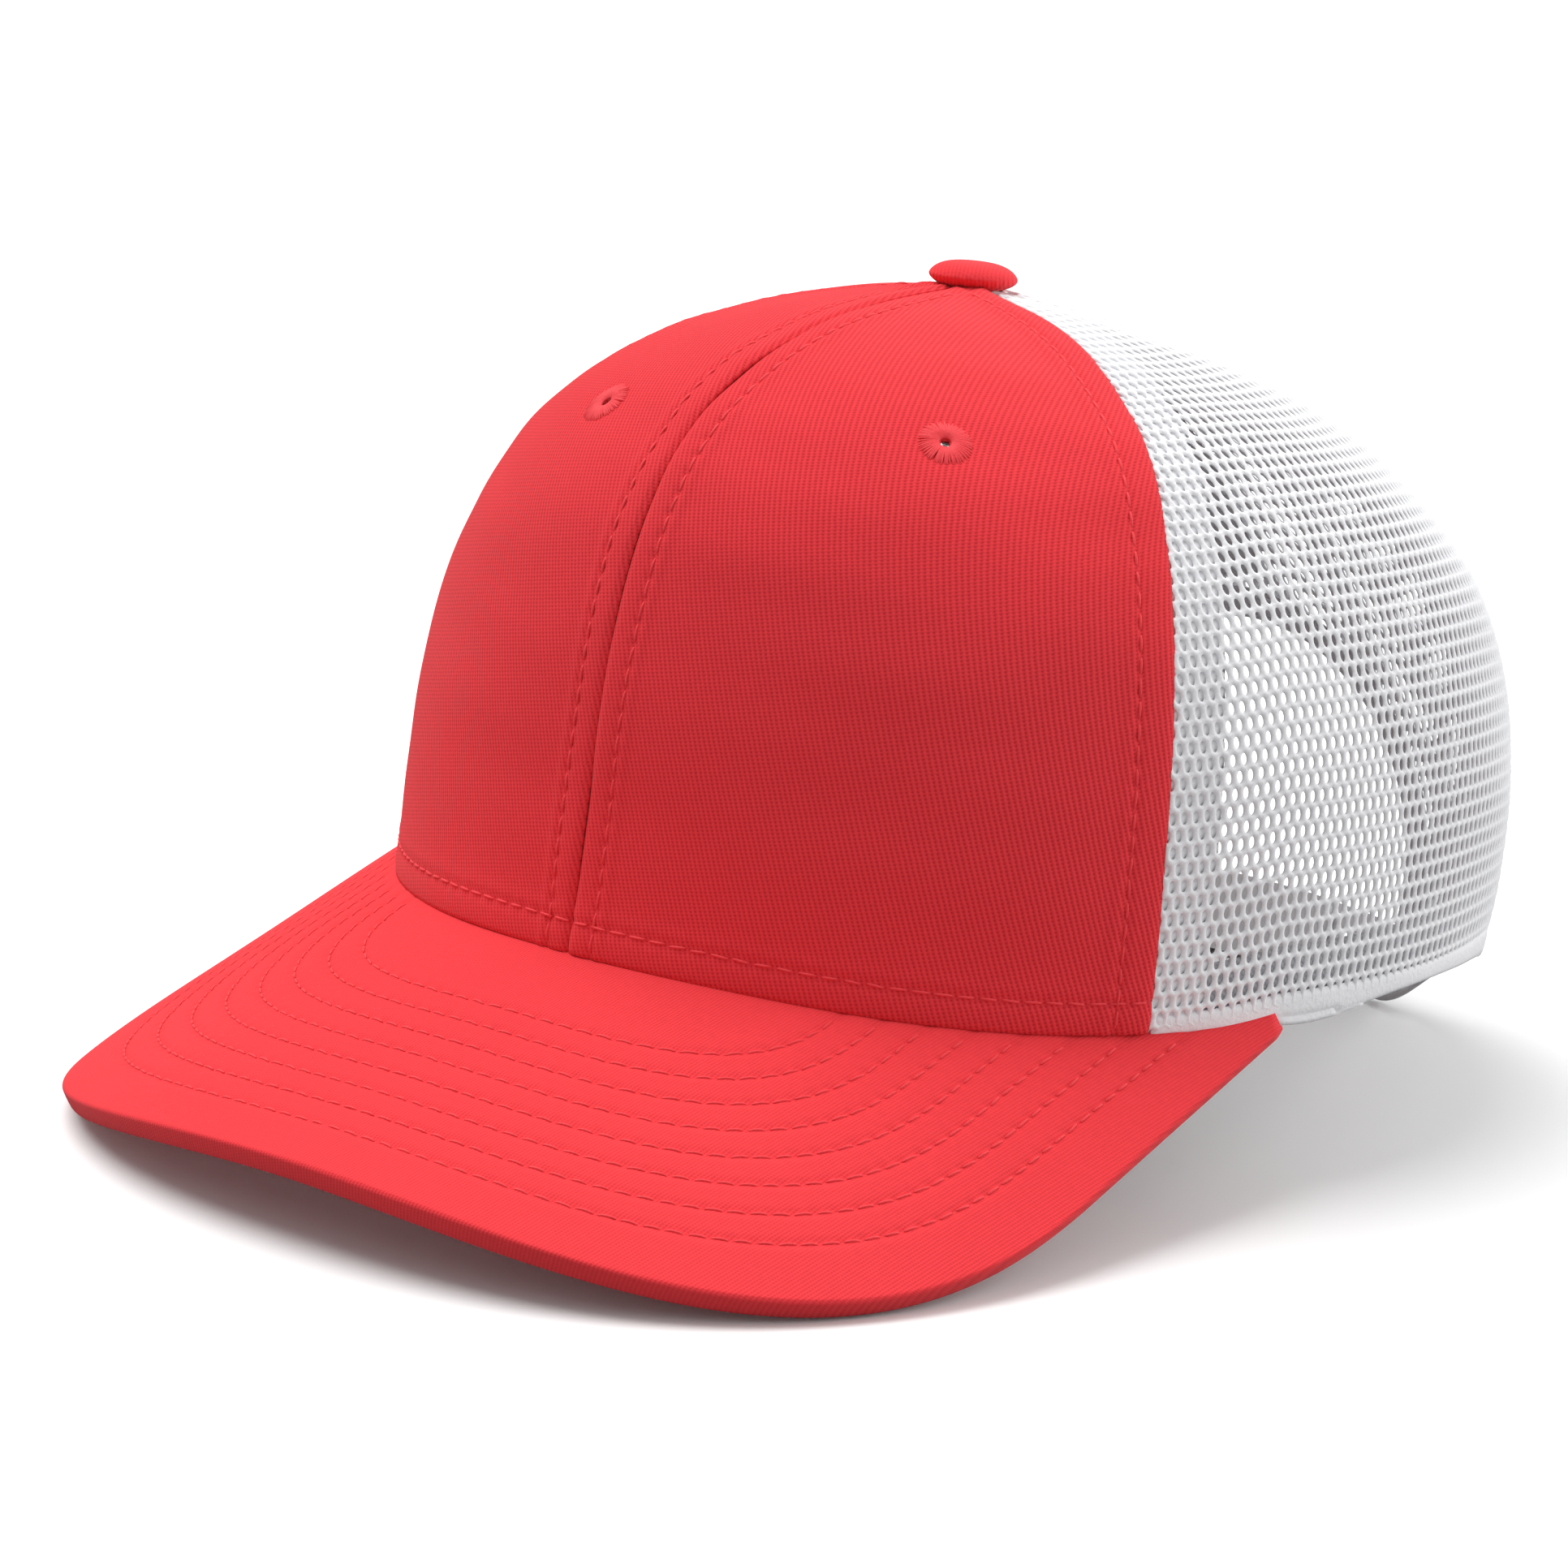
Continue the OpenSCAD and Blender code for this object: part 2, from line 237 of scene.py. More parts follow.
# %% Light and floor
ROOM_LIGHT = 0.5
FLOOR_BOUNCE, FLOOR_SEEN = 0.30, 0.98
world = bpy.data.worlds.new("white room")
bpy.context.scene.world = world
world.use_nodes = True
world.node_tree.nodes["Background"].inputs["Color"].default_value = (1, 1, 1, 1)
world.node_tree.nodes["Background"].inputs["Strength"].default_value = ROOM_LIGHT
bpy.context.scene.view_settings.view_transform = "Standard"
away = np.array([-back[0], -back[1], 0.0])


def panel_light(name, strength, spread, toward):
    """A wide soft sun stands for a large panel that lights the whole floor evenly."""
    data = bpy.data.lights.new(name, "SUN")
    data.energy, data.angle = strength, math.radians(spread)
    light = bpy.data.objects.new(name, data)
    light.rotation_euler = Vector(toward).to_track_quat("Z", "Y").to_euler()
    bpy.context.scene.collection.objects.link(light)


panel_light("overhead panel", 2.6, 50, -0.42 * level + 0.18 * away + np.array([0, 0, 1.0]))
# A low soft light from the right reaches the mesh and leaves the front panels in shade.
panel_light("side panel", 2.1, 60, level + 0.25 * away + np.array([0, 0, 0.25]))

bpy.ops.object.select_all(action="DESELECT")
bpy.ops.mesh.primitive_plane_add(size=30, location=(0, 0, 0))
floor = bpy.context.object
floor.name = "floor"
floor_paint = bpy.data.materials.new("pale floor")
floor_paint.use_nodes = True
links, nodes = floor_paint.node_tree.links, floor_paint.node_tree.nodes
surface = nodes["Principled BSDF"].inputs
surface["Roughness"].default_value = 0.9
# The floor is pale to the eye but gives back less light, so the cap's underside stays in shade.
shade = nodes.new("ShaderNodeMapRange")
shade.inputs["To Min"].default_value = FLOOR_BOUNCE
shade.inputs["To Max"].default_value = FLOOR_SEEN
links.new(nodes.new("ShaderNodeLightPath").outputs["Is Camera Ray"], shade.inputs["Value"])
links.new(shade.outputs["Result"], surface["Base Color"])
floor.data.materials.append(floor_paint)

# %% [markdown]
# ## From rows of points to cloth
# Cloth has two faces and a cut edge. The quickest honest way to make a curved cloth is a grid of
# points on its outer face, the same grid a little deeper for its inner face, and a wall round every
# open edge, holes included. Each grid point also keeps its place on the flat cloth as a UV, ten
# millimetres to one unit, so a weave follows the cloth round the head.

# %% Mesh from faces
def piece(name, points, quads, tris=None, uv=None):
    tris = np.zeros((0, 3), int) if tris is None else tris
    corners = np.concatenate([quads.ravel(), tris.ravel()]).astype(np.int32)
    starts = np.concatenate([np.arange(len(quads)) * 4, quads.size + np.arange(len(tris)) * 3])
    mesh = bpy.data.meshes.new(name)
    mesh.vertices.add(len(points))
    mesh.vertices.foreach_set("co", (np.asarray(points) * MM).astype(np.float32).ravel())
    mesh.loops.add(len(corners))
    mesh.loops.foreach_set("vertex_index", corners)
    mesh.polygons.add(len(starts))
    mesh.polygons.foreach_set("loop_start", starts.astype(np.int32))
    if uv is not None:
        layer = mesh.uv_layers.new(name="cloth")
        layer.data.foreach_set("uv", (uv[corners] / 10).astype(np.float32).ravel())
    mesh.update(calc_edges=True)
    mesh.validate()
    mesh.shade_smooth()
    obj = bpy.data.objects.new(name, mesh)
    bpy.context.scene.collection.objects.link(obj)
    return obj


# %% Cloth from two grids
def cloth(name, outer, inner, uv, keep=None):
    rows, cols = outer.shape[:2]
    ids = np.arange(rows * cols).reshape(rows, cols)
    quads = np.stack([ids[:-1, :-1], ids[:-1, 1:], ids[1:, 1:], ids[1:, :-1]], -1)
    skin = quads.reshape(-1, 4) if keep is None else quads[keep]
    start, end = skin.ravel(), np.roll(skin, -1, axis=1).ravel()
    count = rows * cols
    edge = ~np.isin(start * count + end, end * count + start)
    a, b = start[edge], end[edge]
    wall = np.stack([b, a, a + count, b + count], -1)
    faces = np.concatenate([skin, skin[:, ::-1] + count, wall])
    points = np.concatenate([outer.reshape(-1, 3), inner.reshape(-1, 3)])
    used, again = np.unique(faces, return_inverse=True)
    flat = np.tile(uv.reshape(-1, 2), (2, 1))
    return piece(name, points[used], again.reshape(-1, 4), uv=flat[used])


def dress(obj, paint, slot, *nodes):
    """Gives a piece its finish and its body, and hides the plain solids it stands for. slot is not
    used.
    """
    obj.data.materials.clear()
    obj.data.materials.append(paint)
    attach(obj, BODY)
    if nodes:
        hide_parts(*nodes)
    print(obj.name, "faces", len(obj.data.polygons))


# %% [markdown]
# ## Shader helpers and shared effects
# A weave and the uneven tone of dyed cloth are each a shader node group. The group is built
# once and placed in every material that needs it, with its own numbers. Groups only pass on heights
# and masks that change over the cloth. The shader and its plain numbers stay in each material.

# %% Node helpers
def put(tree, kind, sockets=(), **settings):
    """A new node. Each named input gets a link or a plain value."""
    node = tree.nodes.new(kind)
    for key, value in settings.items():
        setattr(node, key, value)
    for key, value in dict(sockets).items():
        if isinstance(value, bpy.types.NodeSocket):
            tree.links.new(value, node.inputs[key])
        else:
            node.inputs[key].default_value = value
    return node


def calc(tree, operation, *values):
    return put(tree, "ShaderNodeMath", enumerate(values), operation=operation).outputs[0]


def group(name, inputs, outputs):
    tree = bpy.data.node_groups.new(name, "ShaderNodeTree")
    for label, kind, value in inputs:
        socket = tree.interface.new_socket(name=label, in_out="INPUT", socket_type=kind)
        if value is not None:
            socket.default_value = value
    for label, kind in outputs:
        tree.interface.new_socket(name=label, in_out="OUTPUT", socket_type=kind)
    return tree, tree.nodes.new("NodeGroupInput").outputs, tree.nodes.new("NodeGroupOutput").inputs


def place(tree, shared, sockets):
    """A shared group, placed in a material with its own numbers."""
    return put(tree, "ShaderNodeGroup", sockets, node_tree=shared).outputs


def scattered(tree, noise, amount):
    """A noise made to swing evenly round zero, by an amount."""
    return calc(tree, "MULTIPLY", calc(tree, "SUBTRACT", noise.outputs["Fac"], 0.5), amount)


# %% Weave group
NUMBER, VECTOR = "NodeSocketFloat", "NodeSocketVector"
weave, given, out = group(
    "diagonal weave",
    [("Cloth", VECTOR, None), ("Ribs", NUMBER, 10.0), ("Lean", NUMBER, 0.5),
     ("Picks", NUMBER, 15.0), ("Cross lean", NUMBER, -0.25), ("Wander", NUMBER, 0.12)],
    [("Height", NUMBER), ("Pit shade", NUMBER)])
axes = put(weave, "ShaderNodeSeparateXYZ", {"Vector": given["Cloth"]}).outputs
wobble = put(weave, "ShaderNodeTexNoise", {"Vector": given["Cloth"], "Scale": 7.0, "Detail": 1.0})
drift = calc(weave, "MULTIPLY", scattered(weave, wobble, given["Wander"]), 8.0)
along = calc(weave, "MULTIPLY_ADD", axes["Y"], given["Lean"], axes["X"])
along = calc(weave, "ADD", calc(weave, "MULTIPLY", along, given["Ribs"]), drift)
over = calc(weave, "MULTIPLY_ADD", axes["X"], given["Cross lean"], axes["Y"])
over = calc(weave, "ADD", calc(weave, "MULTIPLY", over, given["Picks"]), drift)
rib = calc(weave, "COSINE", calc(weave, "MULTIPLY", along, 2 * math.pi))
pick = calc(weave, "COSINE", calc(weave, "MULTIPLY", over, 2 * math.pi))
valley = calc(weave, "MULTIPLY_ADD", rib, -0.5, 0.5)
between = calc(weave, "MULTIPLY_ADD", pick, -0.5, 0.5)
# the valleys between the ribs, deepest between picks, make the mask for painted shade in the pits
pit_shade = calc(weave, "MULTIPLY", calc(weave, "POWER", valley, 1.6),
           calc(weave, "MULTIPLY_ADD", between, 0.75, 0.25))
height = calc(weave, "SUBTRACT", calc(weave, "MULTIPLY_ADD", between, -0.25, 1.0), valley)
weave.links.new(height, out["Height"])
weave.links.new(pit_shade, out["Pit shade"])

# %% Tone group
tone, given, out = group(
    "uneven dye and lint",
    [("Place", VECTOR, None), ("Blotch size", NUMBER, 45.0), ("Blotch", NUMBER, 0.10),
     ("Fibre size", NUMBER, 900.0), ("Fibre", NUMBER, 0.12)],
    [("Tone", NUMBER), ("Fuzz", NUMBER)])
blotch = put(tone, "ShaderNodeTexNoise",
             {"Vector": given["Place"], "Scale": given["Blotch size"], "Detail": 3.0})
fibre = put(tone, "ShaderNodeTexNoise",
            {"Vector": given["Place"], "Scale": given["Fibre size"], "Detail": 2.0})
both = calc(tone, "ADD", scattered(tone, blotch, given["Blotch"]),
            scattered(tone, fibre, given["Fibre"]))
tone.links.new(calc(tone, "ADD", both, 1.0), out["Tone"])
tone.links.new(fibre.outputs["Fac"], out["Fuzz"])
print("shared effects", [g.name for g in bpy.data.node_groups])

# %% [markdown]
# ## Cloth finishes
# Every cloth here is a matte shader with a little sheen, because loose fibres catch light at
# grazing angles. The weave paints shade into the pits between ribs with a darker colour and raises
# the ribs in a bump, and the tone group keeps the dye from looking flat. Every material starts and
# ends alike, so two small functions do that part. Only the numbers differ between front twill,
# visor twill, tape and interlining, so one more function makes them all.

# %% The start and the end of a material
def begin(name):
    """A new material, its node tree and its object coordinates."""
    paint = bpy.data.materials.new(name)
    paint.use_nodes = True
    tree = paint.node_tree
    return paint, tree, put(tree, "ShaderNodeTexCoord").outputs["Object"]


def complete(tree, colour, dye, relief, depth, **inputs):
    """Tones the colour, adds the relief and sets the shader's plain inputs."""
    shader = tree.nodes["Principled BSDF"].inputs
    toned = put(tree, "ShaderNodeVectorMath", {0: colour}, operation="SCALE")
    tree.links.new(dye["Tone"], toned.inputs["Scale"])
    tree.links.new(toned.outputs[0], shader["Base Color"])
    bump = put(tree, "ShaderNodeBump", {"Height": relief, "Distance": depth, "Strength": 1.0})
    tree.links.new(bump.outputs["Normal"], shader["Normal"])
    for label, value in inputs.items():
        shader[label.replace("_", " ")].default_value = value


def plain(tree, colour):
    node = put(tree, "ShaderNodeRGB")
    node.outputs[0].default_value = (*colour, 1)
    return node.outputs[0]


# %% Woven cloth
def woven(name, colour, pit_shade_colour, ribs, lean, picks, cross, depth=0.00012, wander=0.12, blotch=0.10,
          sheen=0.06, rough=0.9):
    paint, tree, spot = begin(name)
    flat = put(tree, "ShaderNodeUVMap", uv_map="cloth").outputs["UV"]
    yarn = place(tree, weave, {"Cloth": flat, "Ribs": ribs, "Lean": lean, "Picks": picks,
                               "Cross lean": cross, "Wander": wander})
    dye = place(tree, tone, {"Place": spot, "Blotch": blotch})
    # the second colour is painted shade, mixed in where the pits between the ribs lie in shade
    pit_shading = put(tree, "ShaderNodeMix", {"Factor": yarn["Pit shade"]}, data_type="RGBA")
    # a mix node keeps one set of sockets for each kind of value, so colours are set by place
    pit_shading.inputs[6].default_value, pit_shading.inputs[7].default_value = (*colour, 1), (*pit_shade_colour, 1)
    relief = calc(tree, "MULTIPLY_ADD", dye["Fuzz"], 0.35, yarn["Height"])
    complete(tree, pit_shading.outputs[2], dye, relief, depth, Roughness=rough, Sheen_Weight=sheen,
             Sheen_Roughness=0.45, Specular_IOR_Level=0.12)
    return paint


# %% Red cloth finishes
# the two darker reds are painted shade for the pits between the ribs
RED, RED_PIT_SHADE, RED_PIT_SOFT_SHADE = (0.86, 0.050, 0.060), (0.56, 0.020, 0.030), (0.72, 0.035, 0.045)
front_twill = woven("red front twill", RED, RED_PIT_SHADE, ribs=13.0, lean=0.35, picks=17.0, cross=-0.2,
                    depth=0.00009, wander=0.03)
visor_twill = woven("red visor twill", RED, RED_PIT_SOFT_SHADE, ribs=18.0, lean=0.10, picks=20.0, cross=0.25,
                    depth=0.00005, wander=0.03)
under_twill = woven("red under visor twill", RED, RED_PIT_SOFT_SHADE, ribs=18.0, lean=0.10, picks=20.0,
                    cross=0.25, depth=0.00005, wander=0.03)
button_twill = woven("red button twill", RED, RED_PIT_SOFT_SHADE, ribs=14.0, lean=0.6, picks=18.0, cross=-0.2,
                     depth=0.00007, wander=0.03)
band_twill = woven("red sweatband twill", (0.74, 0.036, 0.048), RED_PIT_SHADE, ribs=9.0, lean=1.0,
                   picks=12.0, cross=-0.6, depth=0.00016)
# the second colour of the tape and of the interlining is painted shade for the pits between the
# ribs
white_tape = woven("white seam tape", (0.84, 0.84, 0.86), (0.60, 0.60, 0.64), ribs=9.0, lean=1.0,
                   picks=12.0, cross=-1.0, depth=0.00010, blotch=0.04)
interlining = woven("stiff interlining", (0.80, 0.78, 0.72), (0.45, 0.43, 0.38), ribs=7.0, lean=0.0,
                    picks=7.0, cross=0.0, depth=0.00022, wander=0.05, blotch=0.05, rough=0.7)
print("cloth finishes", [m.name for m in bpy.data.materials])

# %% [markdown]
# ## Thread and yarn
# Sewing thread is a little shinier than the cloth and slightly lighter, so rows of stitches read
# against it. The mesh is knitted from soft white yarn: matte, faintly ribbed along the loops, with
# very little colour of its own. Both take their relief from fine noise in object space.

# %% Thread and yarn finishes
def spun(name, colour, rough, sheen, grain, depth, blotch=0.06):
    paint, tree, spot = begin(name)
    dye = place(tree, tone, {"Place": spot, "Blotch": blotch, "Fibre size": grain, "Fibre": 0.16})
    complete(tree, plain(tree, colour), dye, dye["Fuzz"], depth, Roughness=rough,
             Sheen_Weight=sheen, Specular_IOR_Level=0.3)
    return paint


red_thread = spun("red thread", (0.86, 0.052, 0.064), 0.6, 0.05, 2500.0, 0.00008)
white_thread = spun("white thread", (0.88, 0.88, 0.90), 0.55, 0.2, 2500.0, 0.00008, blotch=0.02)
knit = spun("white knitted yarn", (0.88, 0.88, 0.90), 0.85, 0.1, 1600.0, 0.00010, blotch=0.02)
print("yarns", red_thread.name, white_thread.name, knit.name)

# %% [markdown]
# ## Stitches
# One stitch is modelled once: a short rod with rounded, slightly sunken ends, because a stitch
# dives into the cloth at both needle holes. A row of stitching is copies of it set end to end
# along a line on the cloth, each turned to the line and to the cloth's own facing. Hundreds of
# copies stay light because the rod has only a few dozen faces.

# %% One stitch
def rod(name, sides, rings):
    """A unit rod along X, one long and one thick, from a sphere primitive."""
    bpy.ops.object.select_all(action="DESELECT")
    bpy.ops.mesh.primitive_uv_sphere_add(segments=sides, ring_count=rings, radius=0.5)
    obj = bpy.context.object
    obj.name = name
    bpy.ops.object.mode_set(mode="EDIT")
    bpy.ops.mesh.select_all(action="SELECT")
    bpy.ops.transform.rotate(value=math.pi / 2, orient_axis="Y", center_override=(0, 0, 0))
    bpy.ops.mesh.normals_make_consistent(inside=False)
    bpy.ops.object.mode_set(mode="OBJECT")
    points = np.array([v.co for v in obj.data.vertices])
    # the middle of the rod is filled out, so it is a rod and not an egg
    far = np.abs(points[:, 0]) * 2
    radius = np.hypot(points[:, 1], points[:, 2])
    fuller = np.where(far < 0.98, np.minimum(1.0, (1 - far**4)) ** 0.35 * 0.5, 0.0)
    grow = np.where(radius > 1e-6, fuller / np.maximum(radius, 1e-6), 0)
    points[:, 1:] *= grow[:, None]
    faces = [tuple(p.vertices) for p in obj.data.polygons]
    bpy.data.objects.remove(obj)
    quads = np.array([f for f in faces if len(f) == 4])
    tris = np.array([f for f in faces if len(f) == 3])
    return points, quads, tris


STITCH = rod("stitch", 8, 6)
SINK = 0.48
SUNK = STITCH[0].copy()
SUNK[:, 2] -= SINK * (2 * SUNK[:, 0]) ** 2
print("stitch faces", len(STITCH[1]) + len(STITCH[2]))


# %% A row of copies
def repeated(name, model, centres, along, upward, sizes):
    """Copies of one shape, each with its own place, direction, facing and (long, wide, high)."""
    points, quads, tris = model
    along = unit(along)
    side = unit(np.cross(upward, along))
    up = np.cross(along, side)
    local = points[None] * sizes[:, None, :]
    moved = (local[..., :1] * along[:, None] + local[..., 1:2] * side[:, None]
             + local[..., 2:] * up[:, None] + centres[:, None])
    step = (np.arange(len(centres)) * len(points))[:, None, None]
    return piece(name, moved.reshape(-1, 3), (quads[None] + step).reshape(-1, 4),
                 (tris[None] + step).reshape(-1, 3))


def length_along(line):
    """How far along a line of points each one is."""
    return np.concatenate([[0], np.cumsum(np.linalg.norm(np.diff(line, axis=0), axis=1))])


def paced(line, pitch):
    """Places about pitch apart on a line of points, and how far along each point is."""
    run = length_along(line)
    count = max(int(round(run[-1] / pitch)), 1)
    return run, np.linspace(0, run[-1], count + 1)


def sample(places, run, values):
    return np.stack([np.interp(places, run, column) for column in values.T], 1)


def sew(name, lines, paint, slot, pitch, thick=0.42, share=0.84):
    """One piece holding the stitches of several lines, each (points, facings)."""
    centres, along, upward = [], [], []
    for line, normals in lines:
        run, holes = paced(line, pitch)
        middle = (holes[:-1] + holes[1:]) / 2
        centres.append(sample(middle, run, line))
        along.append(np.diff(sample(holes, run, line), axis=0))
        upward.append(sample(middle, run, normals))
    centres, along, upward = (np.concatenate(x) for x in (centres, along, upward))
    long = np.linalg.norm(along, axis=1) * share * (1 + 0.05 * rng.standard_normal(len(along)))
    tilt = 0.05 * rng.standard_normal((len(along), 1))
    along = along + np.cross(upward, along) * tilt
    sizes = np.stack([long, np.full(len(long), thick), np.full(len(long), thick)], 1)
    obj = repeated(name, (SUNK, STITCH[1], STITCH[2]), centres, along, upward, sizes)
    dress(obj, paint, slot)


# %% [markdown]
# ## Front panels
# Two red twill panels meet in a seam down the middle of the forehead. On a sewn seam the cloth
# dives inward at the join, stands slightly proud over the folded allowance beside it, and is
# pinched along the topstitching. All of that is a height over the crown's surface that depends only
# on the distance to the nearest seam, so each panel is one fine grid with that height added.

# %% Distances and soft steps
TWILL_T = 0.7
GAP = 0.05
PANEL_A = 30.0


def bell(x, width):
    return np.exp(-((x / width) ** 2))


def ease(x, low, high):
    k = np.clip((x - low) / (high - low), 0, 1)
    return k * k * (3 - 2 * k)


def ripple(a, t, seed):
    """Gentle unevenness of hand-steamed cloth, in millimetres."""
    slow = np.sin(0.071 * a * (1 + 0.3 * t) + 9 * t + seed)
    return (0.16 * slow * np.sin(11 * t + 0.03 * a + 2 * seed)
            + 0.10 * np.sin(0.19 * a + 23 * t + seed) + 0.07 * np.sin(31 * t - 0.11 * a + seed)
            + 0.06 * np.sin(64 * t + 0.05 * a + seed) * np.sin(0.07 * a + 5 * t + seed))


def climb(a, t_values):
    """Length in millimetres up the crown from the hem, for each t at angle a."""
    dense = np.linspace(0, 1, 401)
    return np.interp(t_values, dense, length_along(crown(np.full_like(dense, a), dense)))


def flat_places(a, t):
    """Where each point of a front panel lies on its flat cut, in millimetres."""
    return np.stack([np.radians(a) * reach(a, t), climb(PANEL_A, t)], -1)


print("front of crown, hem to top", round(float(climb(0.0, 1.0)), 1), "mm")

# %% Places of the rows of stitching on the crown
STITCH_PITCH = 3.3
CENTRE_ROW, SIDE_ROW, HEM_ROW = 4.3, 5.0, 4.8
ROW_START, ROW_END, ROW_DIP, HOLE_DIP, ROW_LIFT = 0.004, 0.955, 0.20, 0.22, 0.06
# for each edge: depth and width of the dive, height of the allowance, and where that fades
CENTRE_EDGE, SIDE_EDGE, HEM_EDGE = ((0.60, 0.7, 0.22, 5.2, 6.8), (0.40, 0.7, 0.20, 6.2, 7.8),
                                    (0.25, 0.8, 0.12, 6.0, 8.0))
EYELETS = {"left": (33.0, 0.629), "right": (-18.2, 0.608)}
EYELET_R, EYELET_HOLE = 4.4, 0.85


def hem_t(a, mm):
    """The t at which the crown is mm above its hem, at angle a."""
    return mm / np.linalg.norm(crown(a, 0.02) - crown(a, 0.0), axis=-1) * 0.02


def crown_line(kind, side, count=700):
    """Angles and t of one topstitched row. side is 1 for the wearer's left, -1 for the right."""
    t = np.linspace(ROW_START, ROW_END, count)
    if kind == "centre":
        return side * turn(0.0, t, CENTRE_ROW), t
    if kind == "side":
        return side * beside(seam, -SIDE_ROW)(t), t
    a = np.linspace(0.2, seam(0.03) - 0.4, count)
    return side * a, hem_t(a, HEM_ROW)


def needle_holes(side):
    """Where the needle went in, on the three rows of one front panel."""
    found = []
    for kind in ("centre", "side", "hem"):
        line = crown(*crown_line(kind, side))
        run, holes = paced(line, STITCH_PITCH)
        found.append(sample(holes, run, line))
    return np.concatenate(found)


SLAB = 4000


def nearest(points, targets):
    """Distance from each point to its nearest target, worked out a slab at a time."""
    flat, best = points.reshape(-1, points.shape[-1]), []
    for chunk in np.array_split(flat, max(len(flat) // SLAB, 1)):
        gap = ((chunk[:, None] - targets[None]) ** 2).sum(-1)
        best.append(np.sqrt(gap.min(1)))
    return np.concatenate(best).reshape(points.shape[:-1])


def panel_height(side, a, t, holes=True):
    """Height of a front panel's cloth over the crown's surface."""
    size = np.abs(a)
    round_mm = np.radians(size) * reach(a, t)
    edge_mm = np.radians(seam(t) - size) * reach(a, t)
    hem_mm = t / np.maximum(hem_t(a, 1.0), 1e-9)
    height = ripple(a, t, 1.3 * side)
    for distance, row, edge in ((round_mm, CENTRE_ROW, CENTRE_EDGE), (edge_mm, SIDE_ROW, SIDE_EDGE),
                                (hem_mm, HEM_ROW, HEM_EDGE)):
        dive, wide, proud, full, gone = edge
        height += -dive * bell(distance, wide) + proud * (1 - ease(distance, full, gone))
        height -= ROW_DIP * bell(distance - row, 0.75)
    if holes:
        height -= HOLE_DIP * bell(nearest(crown(a, t), needle_holes(side)), 0.7)
    return height


# %% Front panels
PANEL_COLS, PANEL_ROWS = 120, 190


def front_grid(side):
    """Angles and t of a panel's grid, closer together beside the seams."""
    u = np.linspace(0, 1, PANEL_COLS)
    u = u - 0.06 * np.sin(2 * math.pi * u)
    v = np.linspace(0, 1, PANEL_ROWS) ** 1.06
    t = (TOP_T * v)[:, None] + 0 * u[None]
    low, high = turn(0.0, t, GAP), beside(seam, -GAP)(t)
    a = low + (high - low) * u
    return (a, t) if side > 0 else (-a[:, ::-1], t)


def with_hole(points, centre, radius):
    """Grid squares to keep round an eyelet, and the points with the hole's rim made round."""
    away = points - centre
    gap = np.linalg.norm(away, axis=-1)
    open_square = (gap[:-1, :-1] + gap[1:, 1:] + gap[1:, :-1] + gap[:-1, 1:]) / 4 < radius
    gone = np.zeros(gap.shape, bool)
    for i, j in ((0, 0), (1, 0), (0, 1), (1, 1)):
        gone[i:gap.shape[0] - 1 + i, j:gap.shape[1] - 1 + j] |= open_square
    rim = away / np.maximum(gap, 1e-6)[..., None] * radius + centre
    return ~open_square, np.where(gone[..., None], rim, points)


def front_panel(side, word):
    a, t = front_grid(side)
    middle = crown(a, t)
    height = panel_height(side, a, t)
    centre = crown(*EYELETS[word])
    height += -0.30 * bell(np.linalg.norm(middle - centre, axis=-1), 3.4)
    keep, round_rim = with_hole(middle, centre, EYELET_HOLE)
    n = facing(a, t)
    outer = round_rim + (TWILL_T / 2 + height)[..., None] * n
    inner = round_rim + (height * 0.4 - TWILL_T / 2)[..., None] * n
    uv = flat_places(a, t)
    obj = cloth("red_panel_" + word, outer, inner, uv, keep)
    dress(obj, front_twill, "red_twill", "front_panel_" + word)


for side, word in SIDES:
    front_panel(side, word)

# %% [markdown]
# ## Topstitching on the front
# Three rows hold each panel: one beside the middle seam, one beside the mesh and one above the
# visor. The thread lies in the pinched cloth, so each row is lifted from the same height as the
# cloth under it.

# %% Topstitching on the front
def panel_rows(side):
    lines = []
    for kind in ("centre", "side", "hem"):
        a, t = crown_line(kind, side)
        height = panel_height(side, a[None], t[None], holes=False)[0]
        lines.append((on(a, t, TWILL_T / 2 + height + ROW_LIFT), facing(a, t)))
    return lines


for side, word in SIDES:
    sew("front_stitches_" + word, panel_rows(side), red_thread, "red_thread", STITCH_PITCH)

# %% [markdown]
# ## Knitted mesh
# The sides and back are a knitted mesh: rows of upright oval holes, each row shifted by half a
# hole, with soft round yarn between them. A plain sheet painted with holes would look like paper at
# the edges, so the holes are real. One cell is a hexagon with an oval hole through its middle. Its
# outer border stands high, like the top of a round yarn, and the rim of the hole lies lower. Cells
# are laid out on the flat cloth, in millimetres across and down, and then carried onto the crown.

# %% One knitted cell
CELL_W, CELL_H = 1.97, 2.52
HOLE_W, HOLE_H = 0.56, 0.94
YARN_HIGH, YARN_LOW = 0.40, 0.13
BORDER = np.array([[0.5, -0.411], [0.5, 0.0], [0.5, 0.411], [0.25, 0.5], [0.0, 0.589],
                   [-0.25, 0.5], [-0.5, 0.411], [-0.5, 0.0], [-0.5, -0.411], [-0.25, -0.5],
                   [0.0, -0.589], [0.25, -0.5]]) * [CELL_W, CELL_H]
HOLE_ANGLES = np.arctan2(BORDER[:, 1] / HOLE_H, BORDER[:, 0] / HOLE_W)
RIM = np.stack([HOLE_W * np.cos(HOLE_ANGLES), HOLE_H * np.sin(HOLE_ANGLES)], 1)
BORDER_LIFT = YARN_HIGH * np.array([1.08, 0.86, 1.08, 0.9, 1.08, 0.9] * 2)
print("cell", CELL_W, "by", CELL_H, "mm, hole", 2 * HOLE_W, "by", 2 * HOLE_H, "mm")


# %% From flat mesh to the crown
HALF_MAP, MAP_STEPS, WIDEST = 75, 301, 150


